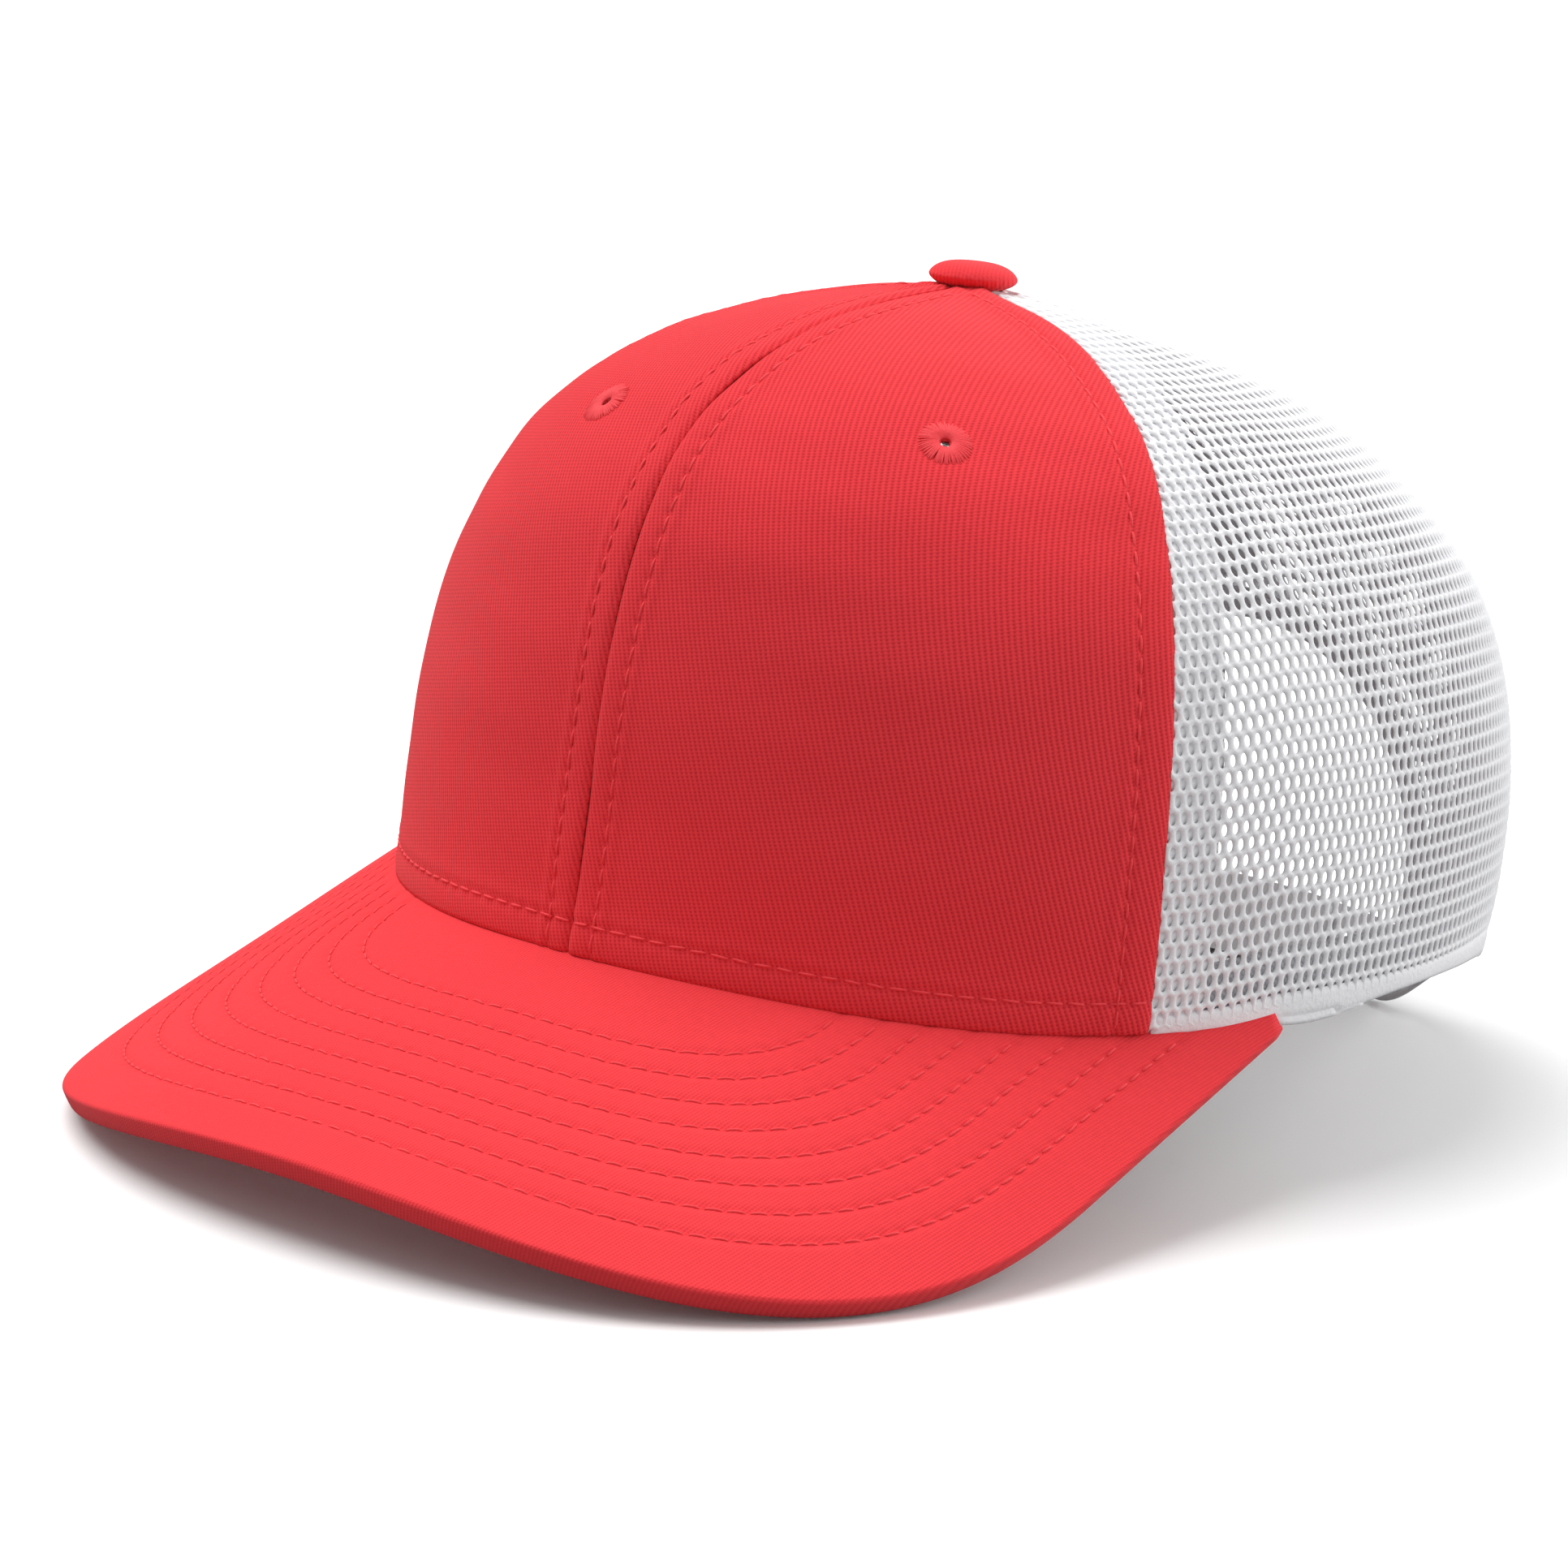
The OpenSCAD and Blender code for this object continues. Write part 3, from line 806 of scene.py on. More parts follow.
def flat_map(low, high):
    """For a panel between two lines of angles: a function from flat (across, down) to (a, t)."""
    t = np.linspace(0, 1, 141)
    middle = (low(t) + high(t)) / 2
    run = length_along(crown(middle, t))
    down_top = np.interp(TOP_T, t, run)
    across = np.linspace(-HALF_MAP, HALF_MAP, MAP_STEPS)
    span = np.linspace(-1.0, 1.0, 161)
    angle = np.zeros((len(t), len(across)))
    for i, ti in enumerate(t):
        under_top = min(ti, 0.985)
        reachable = HALF_MAP / max(np.radians(1) * float(reach(middle[i], under_top)), 0.02)
        a = middle[i] + span * min(reachable, WIDEST)
        steps = length_along(crown(a, under_top))
        steps -= np.interp(middle[i], a, steps)
        angle[i] = np.interp(across, steps, a)

    def carry(x, down):
        ti = np.interp(down_top - down, run, t, left=-0.05, right=1.05)
        ti = np.where(down_top - down < 0, (down_top - down) * 0.008, ti)
        row = np.clip(ti, 0, 1) * (len(t) - 1)
        i = np.minimum(row.astype(int), len(t) - 2)
        col = np.clip((x + HALF_MAP) * 2, 0, len(across) - 1.001)
        j = col.astype(int)
        p, q = row - i, col - j
        a = ((1 - p) * ((1 - q) * angle[i, j] + q * angle[i, j + 1])
             + p * ((1 - q) * angle[i + 1, j] + q * angle[i + 1, j + 1]))
        return a, ti

    return carry, float(down_top)


# %% Trimming the mesh to its panel
def arch(t):
    k = np.clip((t - ARCH_T0) / (ARCH_T1 - ARCH_T0), 0, 1)
    return np.where(t >= ARCH_T1, 0, ARCH_A * np.sqrt(1 - k * k))


def trim(a, t, low, high, opening):
    """Moves points outside the panel to its edge. Returns the new a and t and which moved."""
    b, s = a.copy(), np.clip(t, 0, TOP_T)
    moved = s != t
    if opening:
        x, y = (180 - b) / ARCH_A, (s - ARCH_T0) / (ARCH_T1 - ARCH_T0)
        size = np.hypot(x, np.maximum(y, 0))
        inside = (size < 1) & (y > 0)
        grow = np.where(inside, 1 / np.maximum(size, 1e-6), 1)
        b = np.where(inside, 180 - np.maximum(x, 0) * grow * ARCH_A, b)
        s = np.where(inside, ARCH_T0 + y * grow * (ARCH_T1 - ARCH_T0), s)
        moved |= inside
        below = (s <= ARCH_T0) & (b > 180 - ARCH_A)
        b = np.where(below, 180 - ARCH_A, b)
        moved |= below
    start, end = low(s), high(s)
    moved |= (b < start) | (b > end)
    return np.clip(b, start, end), s, moved


# %% Knitting a sheet of cells
def knit_sheet(carry, low, high, opening, across, down, depth=0.0, thick=1.0, phase=0.0, row0=0.0,
               open_share=1.0):
    """Points, quads, triangles and flat places of the cells over a flat rectangle."""
    cols = np.arange(math.floor(across[0] / CELL_W) - 1, math.ceil(across[1] / CELL_W) + 2)
    rows = np.arange(math.floor(down[0] / CELL_H) - 1, math.ceil(down[1] / CELL_H) + 2)
    c, r = np.meshgrid(cols, rows)
    centre = np.stack([(c + 0.5 * (r % 2) + phase) * CELL_W, (r + row0) * CELL_H], -1)
    centre = centre.reshape(-1, 2)
    inside = ((centre[:, 0] > across[0] - 1.6) & (centre[:, 0] < across[1] + 1.6)
              & (centre[:, 1] > down[0] - 1.8) & (centre[:, 1] < down[1] + 1.8))
    centre = centre[inside]
    border, rim = centre[:, None] + BORDER, centre[:, None] + RIM * open_share
    flat = np.stack([border, rim, rim, border], 1)
    a, t = carry(flat[..., 0], flat[..., 1])
    a, t, moved = trim(a, t, low, high, opening)
    low_lift = np.full(len(BORDER_LIFT), YARN_LOW)
    lift = np.stack([BORDER_LIFT, low_lift, -low_lift, -BORDER_LIFT])[None] * thick
    lift = np.where(moved, 0.0, lift)
    useful = ~moved.reshape(len(centre), -1).all(1)
    a, t, lift, flat, moved = (x[useful] for x in (a, t, lift, flat, moved))
    wave = ripple(a, t, 2.6) * 0.8
    points = on(a, t, depth + lift + wave)
    ids = np.arange(points.size // 3).reshape(len(a), 4, 12)
    first, second = ids[:, :-1], ids[:, 1:]
    quads = np.stack([first, np.roll(first, -1, 2), np.roll(second, -1, 2), second], -1)
    return weld(points.reshape(-1, 3), quads.reshape(-1, 4), flat.reshape(-1, 2), moved.ravel())


WELD_PER_MM = 500


def weld(points, quads, uv, fixed):
    """Joins points that share a place, and drops squares that the trimming closed."""
    key = np.round(points * WELD_PER_MM).astype(np.int64)
    _, first, same = np.unique(key, axis=0, return_index=True, return_inverse=True)
    same = same.ravel()
    flat_face = fixed[quads].all(1)
    quads = same[quads[~flat_face]]
    equal = quads == np.roll(quads, -1, axis=1)
    whole = quads[~equal.any(1) & (quads[:, 0] != quads[:, 2]) & (quads[:, 1] != quads[:, 3])]
    once = equal.sum(1) == 1
    thin, twin = quads[once], equal[once].argmax(1)
    pick = (twin[:, None] + np.array([1, 2, 3])) % 4
    tris = np.take_along_axis(thin, pick, 1)
    tris = tris[(tris != np.roll(tris, -1, axis=1)).all(1)]
    return points[first], whole, tris, uv[first]


# %% Side and back mesh panels
ALLOWANCE, UNDER_RED = 8.0, 0.2
MESH_SPAN = (-66, 66)
MESH_EDGES = {"side": (beside(seam, -UNDER_RED), beside(steady(SIDE_A), -GAP)),
              "back": (beside(steady(SIDE_A), GAP), beside(steady(180.0), -GAP))}


def joined(parts):
    points, quads, tris, uv, base = [], [], [], [], 0
    for p, q, r, s in parts:
        points.append(p), quads.append(q + base), tris.append(r + base), uv.append(s)
        base += len(p)
    return tuple(np.concatenate(x) for x in (points, quads, tris, uv))


def mesh_panel(low, high, opening):
    carry, deep = flat_map(low, high)
    parts = [knit_sheet(carry, low, high, opening, MESH_SPAN, (0, deep))]
    if not opening:
        # the seam allowance is turned under and held down beside the red panel
        parts.append(knit_sheet(carry, low, beside(low, ALLOWANCE), False, MESH_SPAN, (0, deep),
                                depth=-0.5, thick=0.9, phase=0.3, row0=0.45, open_share=0.12))
    return *joined(parts), deep


def mirror(points, quads, tris):
    return points * [-1, 1, 1], quads[:, ::-1], tris[:, ::-1]


mesh_pieces = []
for word, (low, high) in MESH_EDGES.items():
    opening = word == "back"
    points, quads, tris, uv, deep = mesh_panel(low, high, opening)
    wide = float(np.ptp(uv[:, 0]))
    for name, shape in (("left", (points, quads, tris)), ("right", mirror(points, quads, tris))):
        obj = piece(f"knit_{word}_{name}", *shape, uv=uv)
        dress(obj, knit, "white_mesh", f"{word}_mesh_{name}")
        edge_t = np.linspace(0, TOP_T, 60)
        across = np.linspace(0, 1, 40)
        first, last = low(edge_t), high(edge_t) - (arch(edge_t) if opening else 0)
        face = crown(first[:, None] + (last - first)[:, None] * across, edge_t[:, None])
        mesh_pieces.append(obj)
print("knitted panels", [(o.name, len(o.data.polygons)) for o in mesh_pieces])

# %% [markdown]
# ## Visor
# The visor is a stiff board in two twill covers. The top cover is drawn over the edge and down its
# side, so the edge is a square band as thick as the board. Eight rows of stitching run round it
# like nested letters U, and the cloth swells softly between the needle holes. The cover is one grid
# from the crown's hem to the edge, its last rows turned down over the side.

# %% Outline and rows of the visor
EDGE_POWER = 2 / VISOR_SQ
SIDE_SHARE, SIDE_RUN, SIDE_OUT = 0.16, 0.98, 2.2
ROOT_OUT, WELT_OUT = 0.75, 1.6
VISOR_ROWS = [10.0 + 5.3 * k for k in range(8)]


def outline(e, inset):
    """Place (w, s) on the outline moved in by inset. e runs from -90 to 90 degrees."""
    w = (VISOR_W - inset) * np.sign(sind(e)) * np.abs(sind(e)) ** EDGE_POWER
    s = VISOR_S0 + (VISOR_L - VISOR_S0 - inset) * np.abs(cosd(e)) ** EDGE_POWER
    return w, s


def root(q, inset=0.0):
    """Place (w, s) where the visor meets the crown. q runs from -1 to 1."""
    x, y = plan(q * VISOR_END)
    size = np.hypot(x, y)
    x, y = x * (1 + (ROOT_OUT + inset) / size), y * (1 + (ROOT_OUT + inset) / size)
    return VISOR_R * np.arcsin(x / VISOR_R), visor_s(x, y)


def whole_outline(q, inset):
    """The outline and the straight sides that run back to the crown. q runs from -1 to 1."""
    front = np.clip(q / (1 - SIDE_SHARE), -1, 1)
    w, s = outline(90 * front, inset)
    corner_w, corner_s = root(np.float64(1.0))
    run = SIDE_RUN * np.clip((np.abs(q) - 1 + SIDE_SHARE) / SIDE_SHARE, 0, 1)
    side_w = VISOR_W + (corner_w + SIDE_OUT - VISOR_W) * run - inset
    return (np.where(run > 0, np.sign(q) * side_w, w),
            np.where(run > 0, VISOR_S0 + (corner_s - VISOR_S0) * run, s))


def inset_of(w, s):
    """How far a place lies inside the edge, by halving."""
    w = np.abs(w)
    low, high = np.zeros(w.shape), np.full(w.shape, 70.0)
    for _ in range(30):
        c = (low + high) / 2
        wide, deep = np.maximum(VISOR_W - c, 1e-3), np.maximum(VISOR_L - VISOR_S0 - c, 1e-3)
        value = (w / wide) ** VISOR_SQ + (np.maximum(s - VISOR_S0, 0) / deep) ** VISOR_SQ
        inside = value < 1
        low, high = np.where(inside, c, low), np.where(inside, high, c)
    return (low + high) / 2


def visor_row(inset, count=900):
    """The line (w, s) of one row of stitching, cut off where it reaches the crown."""
    e = np.linspace(-90, 90, count)
    w, s = outline(e, inset)
    behind = np.linspace(60, 0.5, 120)
    side = np.full(len(behind), VISOR_W - inset)
    w = np.concatenate([-side, w, side])
    s = np.concatenate([VISOR_S0 - behind, s, VISOR_S0 - behind[::-1]])
    flat = level_visor(w, s, 0.0)
    ahead = np.hypot(flat[:, 0] / (HALF_W + WELT_OUT), flat[:, 1] / (FRONT_L + WELT_OUT)) > 1
    return w[ahead], s[ahead]


visor_lines = [visor_row(inset) for inset in VISOR_ROWS]
print("corner of the visor at the crown", root(np.float64(1.0)))
print("rows of visor stitching", len(visor_lines), "points", [len(w) for w, s in visor_lines])

# %% Height of the visor's cloth
VISOR_STITCH = 3.2


def visor_holes():
    """Places (w, s) where the needle went through the visor."""
    found = []
    for w, s in visor_lines:
        run, holes = paced(visor_point(w, s, 0.0), VISOR_STITCH)
        found.append(sample(holes, run, np.stack([w, s], 1)))
    return np.concatenate(found)


HOLES_WS = visor_holes()


def visor_height(w, s, holes=True):
    inset = inset_of(w, s)
    height = 0.10 * np.sin(0.09 * w + 0.05 * s) * np.sin(0.07 * s - 0.03 * w + 1)
    for row in VISOR_ROWS:
        height = height - 0.16 * bell(inset - row, 0.8)
    if holes:
        height = height - 0.26 * bell(nearest(np.stack([w, s], -1), HOLES_WS), 0.75)
    return height


# %% Visor covers
VISOR_COLS, VISOR_STEPS = 340, 118
TOP_TUCK = -2.2


def cover_grid(profile, turned, tuck=0.0):
    """Places (w, s, d) from the crown to the edge. profile lists (inset, depth) over the edge."""
    q = np.linspace(-1, 1, VISOR_COLS)
    front = np.clip(q / (1 - SIDE_SHARE), -1, 1)
    # columns stand closer together round the two front corners
    q = np.where(np.abs(front) < 1, (1 - SIDE_SHARE) * (front - 0.06 * np.sin(math.pi * front)), q)
    v = np.linspace(0, 1, VISOR_STEPS)[:, None]
    rw, rs = root(q, tuck)
    ew, es = whole_outline(q, profile[0][0])
    w, s = rw + (ew - rw) * v, rs + (es - rs) * v
    d = np.full_like(w, profile[0][1])
    for inset, depth in profile[1:]:
        ew, es = whole_outline(q, inset)
        w, s, d = np.vstack([w, ew]), np.vstack([s, es]), np.vstack([d, np.full_like(ew, depth)])
    side = 1 if turned else -1
    return w[::side], s[::side], d[::side]


def curl(radius, inset, depth, first, last, count):
    """Points (inset, depth) on an arc, for the turned edge."""
    return [(float(inset - radius * math.sin(x)), float(depth - radius * (1 - math.cos(x))))
            for x in np.radians(np.linspace(first, last, count))]


def visor_cover(name, outer_profile, inner_profile, up, paint, node):
    # the top cover runs on under the panels' hem, where it is sewn in
    tuck = TOP_TUCK if up else 0.0
    w0, s0, d0 = cover_grid(outer_profile, not up, tuck)
    w1, s1, d1 = cover_grid(inner_profile, not up, tuck)
    height = visor_height(w0, s0)
    flat = (d0 > -0.05) if up else (d0 < -3.5)
    raised = np.where(flat, height, 0.0)
    lift = raised if up else -raised
    outer, inner = visor_point(w0, s0, d0 + lift), visor_point(w1, s1, d1 + lift * 0.5)
    uv = np.stack([w0, s0 - d0], -1)
    obj = cloth(name, outer, inner, uv)
    dress(obj, paint, "red_twill", node)


top_outer = [(0.75, 0.0), *curl(0.65, 0.7, 0.0, 15, 90, 6),
             (0.0, -1.4), (0.0, -2.2), (0.02, -2.9), (0.12, -3.3), (0.4, -3.5)]
top_inner = [(1.2, -0.7), (1.1, -0.72), (0.95, -0.78), (0.85, -0.85), (0.78, -0.95),
             (0.72, -1.05), (0.7, -1.15), (0.7, -1.4), (0.7, -2.2), (0.7, -2.7), (0.7, -2.9),
             (0.72, -3.0)]
under_outer = [(1.0, -3.6), (0.75, -3.58), (0.55, -3.5), (0.45, -3.38), (0.48, -3.25)]
under_inner = [(1.2, -2.95), (1.1, -2.95), (1.0, -2.97), (0.9, -3.0), (0.85, -3.05)]
visor_cover("visor_cover_top", top_outer, top_inner, True, visor_twill, "visor_top_cover")
visor_cover("visor_cover_under", under_outer, under_inner, False, under_twill, "visor_under_cover")

# %% Visor stitching
def visor_stitches(name, d, side):
    """Rows on one face of the visor. side is 1 for the top and -1 underneath."""
    lines = []
    for w, s in visor_lines:
        height = visor_height(w[None], s[None], holes=False)[0]
        line = visor_point(w, s, d + side * (height + ROW_LIFT))
        normal = visor_point(w, s, d + 1.0) - visor_point(w, s, d)
        lines.append((line, side * normal))
    sew(name, lines, red_thread, "red_thread", VISOR_STITCH, thick=0.40, share=0.80)


visor_stitches("visor_stitches_top", 0.0, 1)
visor_stitches("visor_stitches_under", -3.6, -1)

# %% [markdown]
# ## Eyelets
# Each front panel has a small sewn air hole. It is a ring of satin stitch: close radial threads
# that rise out of the hole and dive into the twill at a slightly ragged rim. One curved thread is
# made, then copied round the hole with small differences in length and angle.

# %% Eyelets
THREADS, THREAD_WIDE, THREAD_HIGH = 92, 0.36, 0.42


def satin_thread():
    """One thread from the hole (x 0) to the rim (x 1), arched in Z."""
    points = STITCH[0] + [0.5, 0, 0]
    points[:, 2] += 1.25 * np.sin(math.pi * np.clip(points[:, 0], 0, 1) ** 0.75) - 0.5
    return points, STITCH[1], STITCH[2]


def eyelet(word):
    a, t = EYELETS[word]
    n, centre = facing(a, t), crown(a, t)
    across = unit(np.cross(np.array([0, 0, 1.0]), n))
    rise = np.cross(n, across)
    angle = np.linspace(0, 2 * math.pi, THREADS, endpoint=False)
    angle = angle + 0.008 * rng.standard_normal(THREADS)
    ragged = (0.10 * rng.standard_normal(THREADS)
              + 0.10 * np.where(np.arange(THREADS) % 2, 1, -1))
    long = EYELET_R - EYELET_HOLE + np.clip(ragged, -0.3, 0.35) + 0.15 * np.cos(angle + 2.2)
    out = np.cos(angle)[:, None] * across + np.sin(angle)[:, None] * rise
    start = centre + out * (EYELET_HOLE - 0.12) + n * (TWILL_T / 2 - 0.12)
    swirl = np.cross(n, out) * (0.06 + 0.03 * rng.standard_normal((THREADS, 1)))
    sizes = np.stack([long, np.full(THREADS, THREAD_WIDE), np.full(THREADS, THREAD_HIGH)], 1)
    obj = repeated("eyelet_thread_" + word, satin_thread(), start, out + swirl,
                   np.repeat(n[None], THREADS, 0), sizes)
    dress(obj, red_thread, "red_thread", "eyelet_" + word)


for _, word in SIDES:
    eyelet(word)

# %% [markdown]
# ## Top button
# The button is a domed metal shell covered in the same twill. The cloth is gathered under its rim,
# so small pleats run down its side and fade out on the dome. It starts as a sphere, is cut open
# underneath, pulled into a flat dome and pleated, and then given the cloth's thickness.

# %% Top button
BUTTON_R, BUTTON_UP, BUTTON_TALL, BUTTON_DEEP, BUTTON_T = 7.05, 1.6, 2.35, 2.3, 0.5
PLEATS, PLEAT_DEEP, OPENED = 26, 0.13, -0.86


def open_dome():
    bpy.ops.object.select_all(action="DESELECT")
    bpy.ops.mesh.primitive_uv_sphere_add(segments=144, ring_count=48, radius=1)
    obj = bpy.context.object
    bpy.ops.object.mode_set(mode="EDIT")
    bpy.ops.mesh.select_all(action="SELECT")
    bpy.ops.mesh.bisect(plane_co=(0, 0, OPENED), plane_no=(0, 0, 1), clear_inner=True)
    bpy.ops.object.mode_set(mode="OBJECT")
    return obj


button = open_dome()
button.name = "button_cloth"
points = np.array([v.co for v in button.data.vertices])
around = np.arctan2(points[:, 1], points[:, 0])
tall, wide = points[:, 2], np.hypot(points[:, 0], points[:, 1])
# an upper dome that is flat on top, and a lower side that tucks in quickly
radius = BUTTON_R * wide ** 0.62 * np.where(tall > 0, 1, 1 - 0.16 * tall**2)
rise = np.where(tall > 0, BUTTON_TALL * np.abs(tall) ** 1.35, -BUTTON_DEEP * np.abs(tall) ** 1.1)
pleated = ease(-tall, -0.25, 0.6) * ease(wide, 0.3, 0.9)
pleats = np.sin(PLEATS * around + 2.2 * tall + 1.3 * np.sin(3 * around))
pleats = pleats * (0.8 + 0.2 * np.sin(5 * around))
radius = radius + PLEAT_DEEP * pleated * pleats
shaped = np.stack([radius * np.cos(around), radius * np.sin(around), rise + BUTTON_UP], 1)
shaped = tip(shaped + [0, CROWN_Y, CROWN_H])
for vertex, place_mm in zip(button.data.vertices, shaped):
    vertex.co = Vector(place_mm * MM)
thicken = button.modifiers.new("cloth", "SOLIDIFY")
thicken.thickness, thicken.offset = BUTTON_T * MM, -1
bpy.context.view_layer.objects.active = button
bpy.ops.object.modifier_apply(modifier="cloth")
layer = button.data.uv_layers[0]
layer.name = "cloth"
corners = [button.data.vertices[corner.vertex_index].co[:2] for corner in button.data.loops]
loops = np.array(corners) / MM / 10
layer.data.foreach_set("uv", loops.astype(np.float32).ravel())
button.data.shade_smooth()
dress(button, button_twill, "red_twill", "button_cover")

# %% [markdown]
# ## Inside the crown
# Behind the red panels lies a stiff open-weave interlining that keeps the front upright. The seams
# are covered by woven tape, the front of the hem by a padded band that touches the forehead, and
# the mesh's hem and rear opening by tape. All of these are strips that follow the crown at their
# own depth, so one function makes them, with soft rounded edges and a slight wave.

# %% Strips
def strip(name, a, t, low, high, paint, slot, *nodes, wave=0.05, tuck=0.25):
    """A strip over a grid of angles and t, between two depths. Its edges are rounded off."""
    rows, cols = a.shape
    r = np.minimum(np.arange(rows), np.arange(rows)[::-1])[:, None]
    c = np.minimum(np.arange(cols), np.arange(cols)[::-1])[None]
    rim = tuck * np.exp(-np.minimum(r, c) / 0.7)
    crease = wave * np.sin(0.5 * a + 30 * t)
    outer = on(a, t, high - rim + crease)
    inner = on(a, t, low + rim + crease)
    across = np.radians(a) * reach(a, np.minimum(t, 0.9))
    obj = cloth(name, outer, inner, np.stack([across, climb(PANEL_A, t)], -1))
    dress(obj, paint, slot, *nodes)


def spread_grid(first, last, start, end, cols, rows):
    """A grid of angles between two lines first(t), last(t), for t from start to end."""
    t = np.linspace(start, end, rows)[:, None] + np.zeros((1, cols))
    u = np.linspace(0, 1, cols)[None]
    return first(t) + (last(t) - first(t)) * u, t


def inner_row(a, t, depth):
    """A row of stitching on the inside of the crown: its points and facings."""
    n = facing(a, t)
    return crown(a, t) + depth * n, -n


# %% Interlining
STIFF_IN, STIFF_OUT, STIFF_GAP, STIFF_HOLE = 1.15, 0.80, 1.2, 1.1
stiff_low, stiff_high = beside(steady(0.0), STIFF_GAP), beside(seam, -STIFF_GAP)
for side, word in SIDES:
    a, t = spread_grid(stiff_low, stiff_high, 0.03, 0.94, 80, 120)
    a = a if side > 0 else -a[:, ::-1]
    middle = crown(a, t)
    keep, round_rim = with_hole(middle, crown(*EYELETS[word]), STIFF_HOLE)
    n, uv = facing(a, t), flat_places(a, t)
    dip = 0.5 * bell(uv[..., 0], 1.5)
    obj = cloth("interlining_" + word, round_rim - (STIFF_OUT + dip)[..., None] * n,
                round_rim - (STIFF_IN + dip)[..., None] * n, uv, keep)
    dress(obj, interlining, "buckram", "buckram_" + word)

# %% Seam tapes
HALF_TAPE, TAPE_IN, TAPE_OUT, TAPE_END, THREAD_LIFT = 5.5, -1.95, -1.5, 0.92, 0.12


def seam_tape(name, line, start, node):
    """A tape along a line of angles. Returns its two rows of stitching."""
    a, t = spread_grid(beside(line, -HALF_TAPE), beside(line, HALF_TAPE), start, TAPE_END, 14, 110)
    strip(name, a, t, TAPE_IN, TAPE_OUT, white_tape, "white_tape", node)
    at = np.linspace(start + 0.004, TAPE_END - 0.004, 300)
    return [inner_row(beside(line, share * HALF_TAPE)(at), at, TAPE_IN - THREAD_LIFT)
            for share in (-0.8, 0.8)]


tape_rows = []
for name, line, start, node in (
        ("seam_tape_front_centre", steady(0.0), 0.02, "tape_front_centre"),
        ("seam_tape_front_left", seam, 0.02, "tape_front_left"),
        ("seam_tape_front_right", lambda t: -seam(t), 0.02, "tape_front_right"),
        ("seam_tape_side_left", steady(SIDE_A), 0.06, "tape_side_left"),
        ("seam_tape_side_right", steady(-SIDE_A), 0.06, "tape_side_right"),
        ("seam_tape_back_centre", steady(180.0), ARCH_T1 + 0.06, "tape_back_centre")):
    tape_rows += seam_tape(name, line, start, node)
sew("tape_stitches", tape_rows, white_thread, "white_tape", STITCH_PITCH, thick=0.36)

# %% Sweatband
BAND_END, BAND_IN, BAND_OUT = 56.5, -3.4, -2.2
a, t = spread_grid(steady(-BAND_END), steady(BAND_END), 0.012, 0.2, 150, 34)
strip("sweatband_cloth", a, t, BAND_IN, BAND_OUT, band_twill, "sweatband", "sweatband", wave=0.12,
      tuck=0.5)
angle = np.linspace(1 - BAND_END, BAND_END - 1, 400)
band_rows = [inner_row(angle, np.full_like(angle, height), BAND_IN - THREAD_LIFT)
             for height in (0.024, 0.165)]
sew("sweatband_stitches", band_rows, red_thread, "red_thread", STITCH_PITCH)

# %% Hem tapes and the binding of the rear opening
HEM_LOW, HEM_HIGH, HEM_IN, BIND_IN, LINING_OUT = 61.5, 148.0, -1.4, -1.5, -1.0
hem_rows = []
for side, word in SIDES:
    first, last = sorted((side * HEM_LOW, side * HEM_HIGH))
    a, t = spread_grid(steady(first), steady(last), 0.0, 0.05, 110, 9)
    strip("hem_tape_cloth_" + word, a, t, HEM_IN, LINING_OUT, white_tape, "white_tape",
          "hem_tape_" + word, tuck=0.12)
    angle = np.linspace(first + 0.5, last - 0.5, 300)
    hem_rows += [inner_row(angle, np.full_like(angle, height), HEM_IN - 0.1)
                 for height in (0.008, 0.043)]
# the mesh's own edge is turned under, so it ends in a dense white roll that sags a little
FOLD_LOW, FOLD_HIGH, FOLD_TOP = SEAM_A + 0.3, 180 - ARCH_A - 0.2, 0.013
for side, word in SIDES:
    first, last = sorted((side * FOLD_LOW, side * FOLD_HIGH))
    angle = np.linspace(first, last, 170)[None] + np.zeros((7, 1))
    size = np.abs(angle)
    bottom = -0.002 - 0.015 * bell(size - 127, 15) - 0.012 * bell(size - 76, 9)
    t = bottom + (FOLD_TOP - bottom) * np.linspace(0, 1, 7)[:, None]
    strip("hem_fold_" + word, angle, t, -0.65, 0.5, knit, "white_mesh", tuck=0.35)
BIND_W, BIND_T = 5.2, 0.045


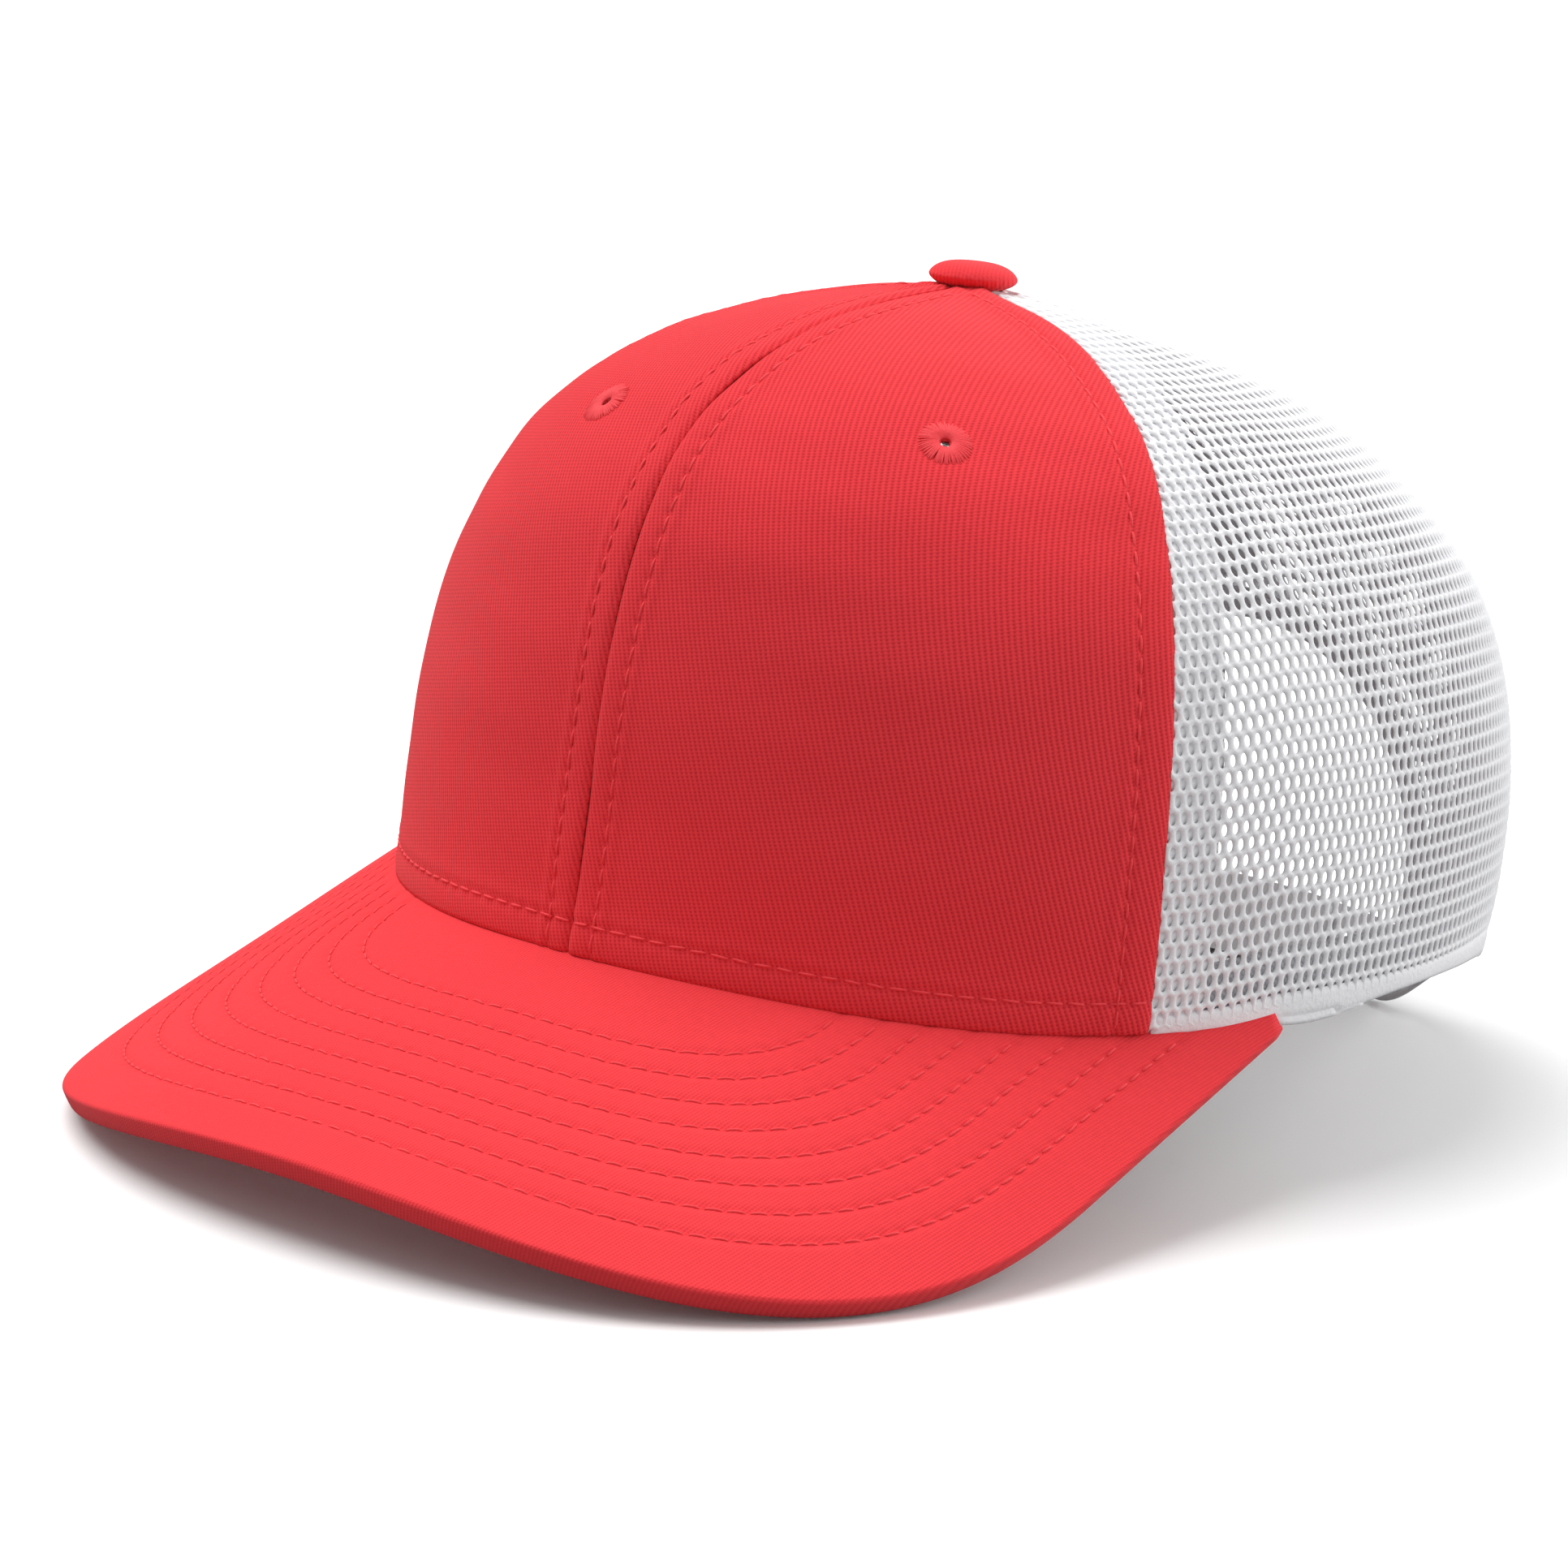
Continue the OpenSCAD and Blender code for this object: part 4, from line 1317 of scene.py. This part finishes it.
def binding_place(p, q):
    """Angle and t on the binding: p degrees round the arch, q from its inner to its outer edge."""
    b = (ARCH_A + BIND_W * q) * cosd(p)
    return 180 + b, ARCH_T0 + (ARCH_T1 - ARCH_T0 + BIND_T * q) * sind(p)


p, q = np.meshgrid(np.linspace(0, 180, 120), np.linspace(1, 0.15, 9))
a, t = binding_place(p, q)
strip("arch_binding_cloth", a, t, BIND_IN, LINING_OUT, white_tape, "white_tape", "arch_binding",
      tuck=0.12)
for share in (0.28, 0.85):
    hem_rows.append(inner_row(*binding_place(np.linspace(0, 180, 300), share), BIND_IN - 0.1))
sew("hem_stitches", hem_rows, white_thread, "white_tape", STITCH_PITCH, thick=0.36)

# %% [markdown]
# ## Plastic and metal
# The closure straps, their sewn ends, the board inside the visor and the metal of the button keep
# their engineered shapes. They only need a finish. The straps are white moulded plastic with a
# satin skin and faint flow marks. The button's metal is brushed.

# %% Plastic and metal finishes
def moulded(name, colour, rough, metal=0.0):
    paint, tree, spot = begin(name)
    dye = place(tree, tone, {"Place": spot, "Blotch size": 30.0, "Blotch": 0.05,
                             "Fibre size": 1800.0, "Fibre": 0.04})
    complete(tree, plain(tree, colour), dye, dye["Fuzz"], 0.00003, Metallic=metal)
    skin = calc(tree, "MULTIPLY_ADD", dye["Fuzz"], 0.25, rough - 0.12)
    tree.links.new(skin, tree.nodes["Principled BSDF"].inputs["Roughness"])
    return paint


strap_plastic = moulded("white strap plastic", (0.86, 0.86, 0.88), 0.45)
board_plastic = moulded("visor board plastic", (0.75, 0.75, 0.75), 0.6)
steel = moulded("brushed button steel", (0.62, 0.62, 0.64), 0.4, metal=1.0)
kept = 0
for paint, names in ((strap_plastic, ("hole_tab", "stud_tab", "hole_strap", "stud_strap")),
                     (board_plastic, ("visor_board",)),
                     (steel, ("button_core", "button_shank", "button_clinch"))):
    for name in names:
        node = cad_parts[name]
        node.data.materials.clear()
        node.data.materials.append(paint)
        kept += 1
print("kept engineered pieces:", kept)
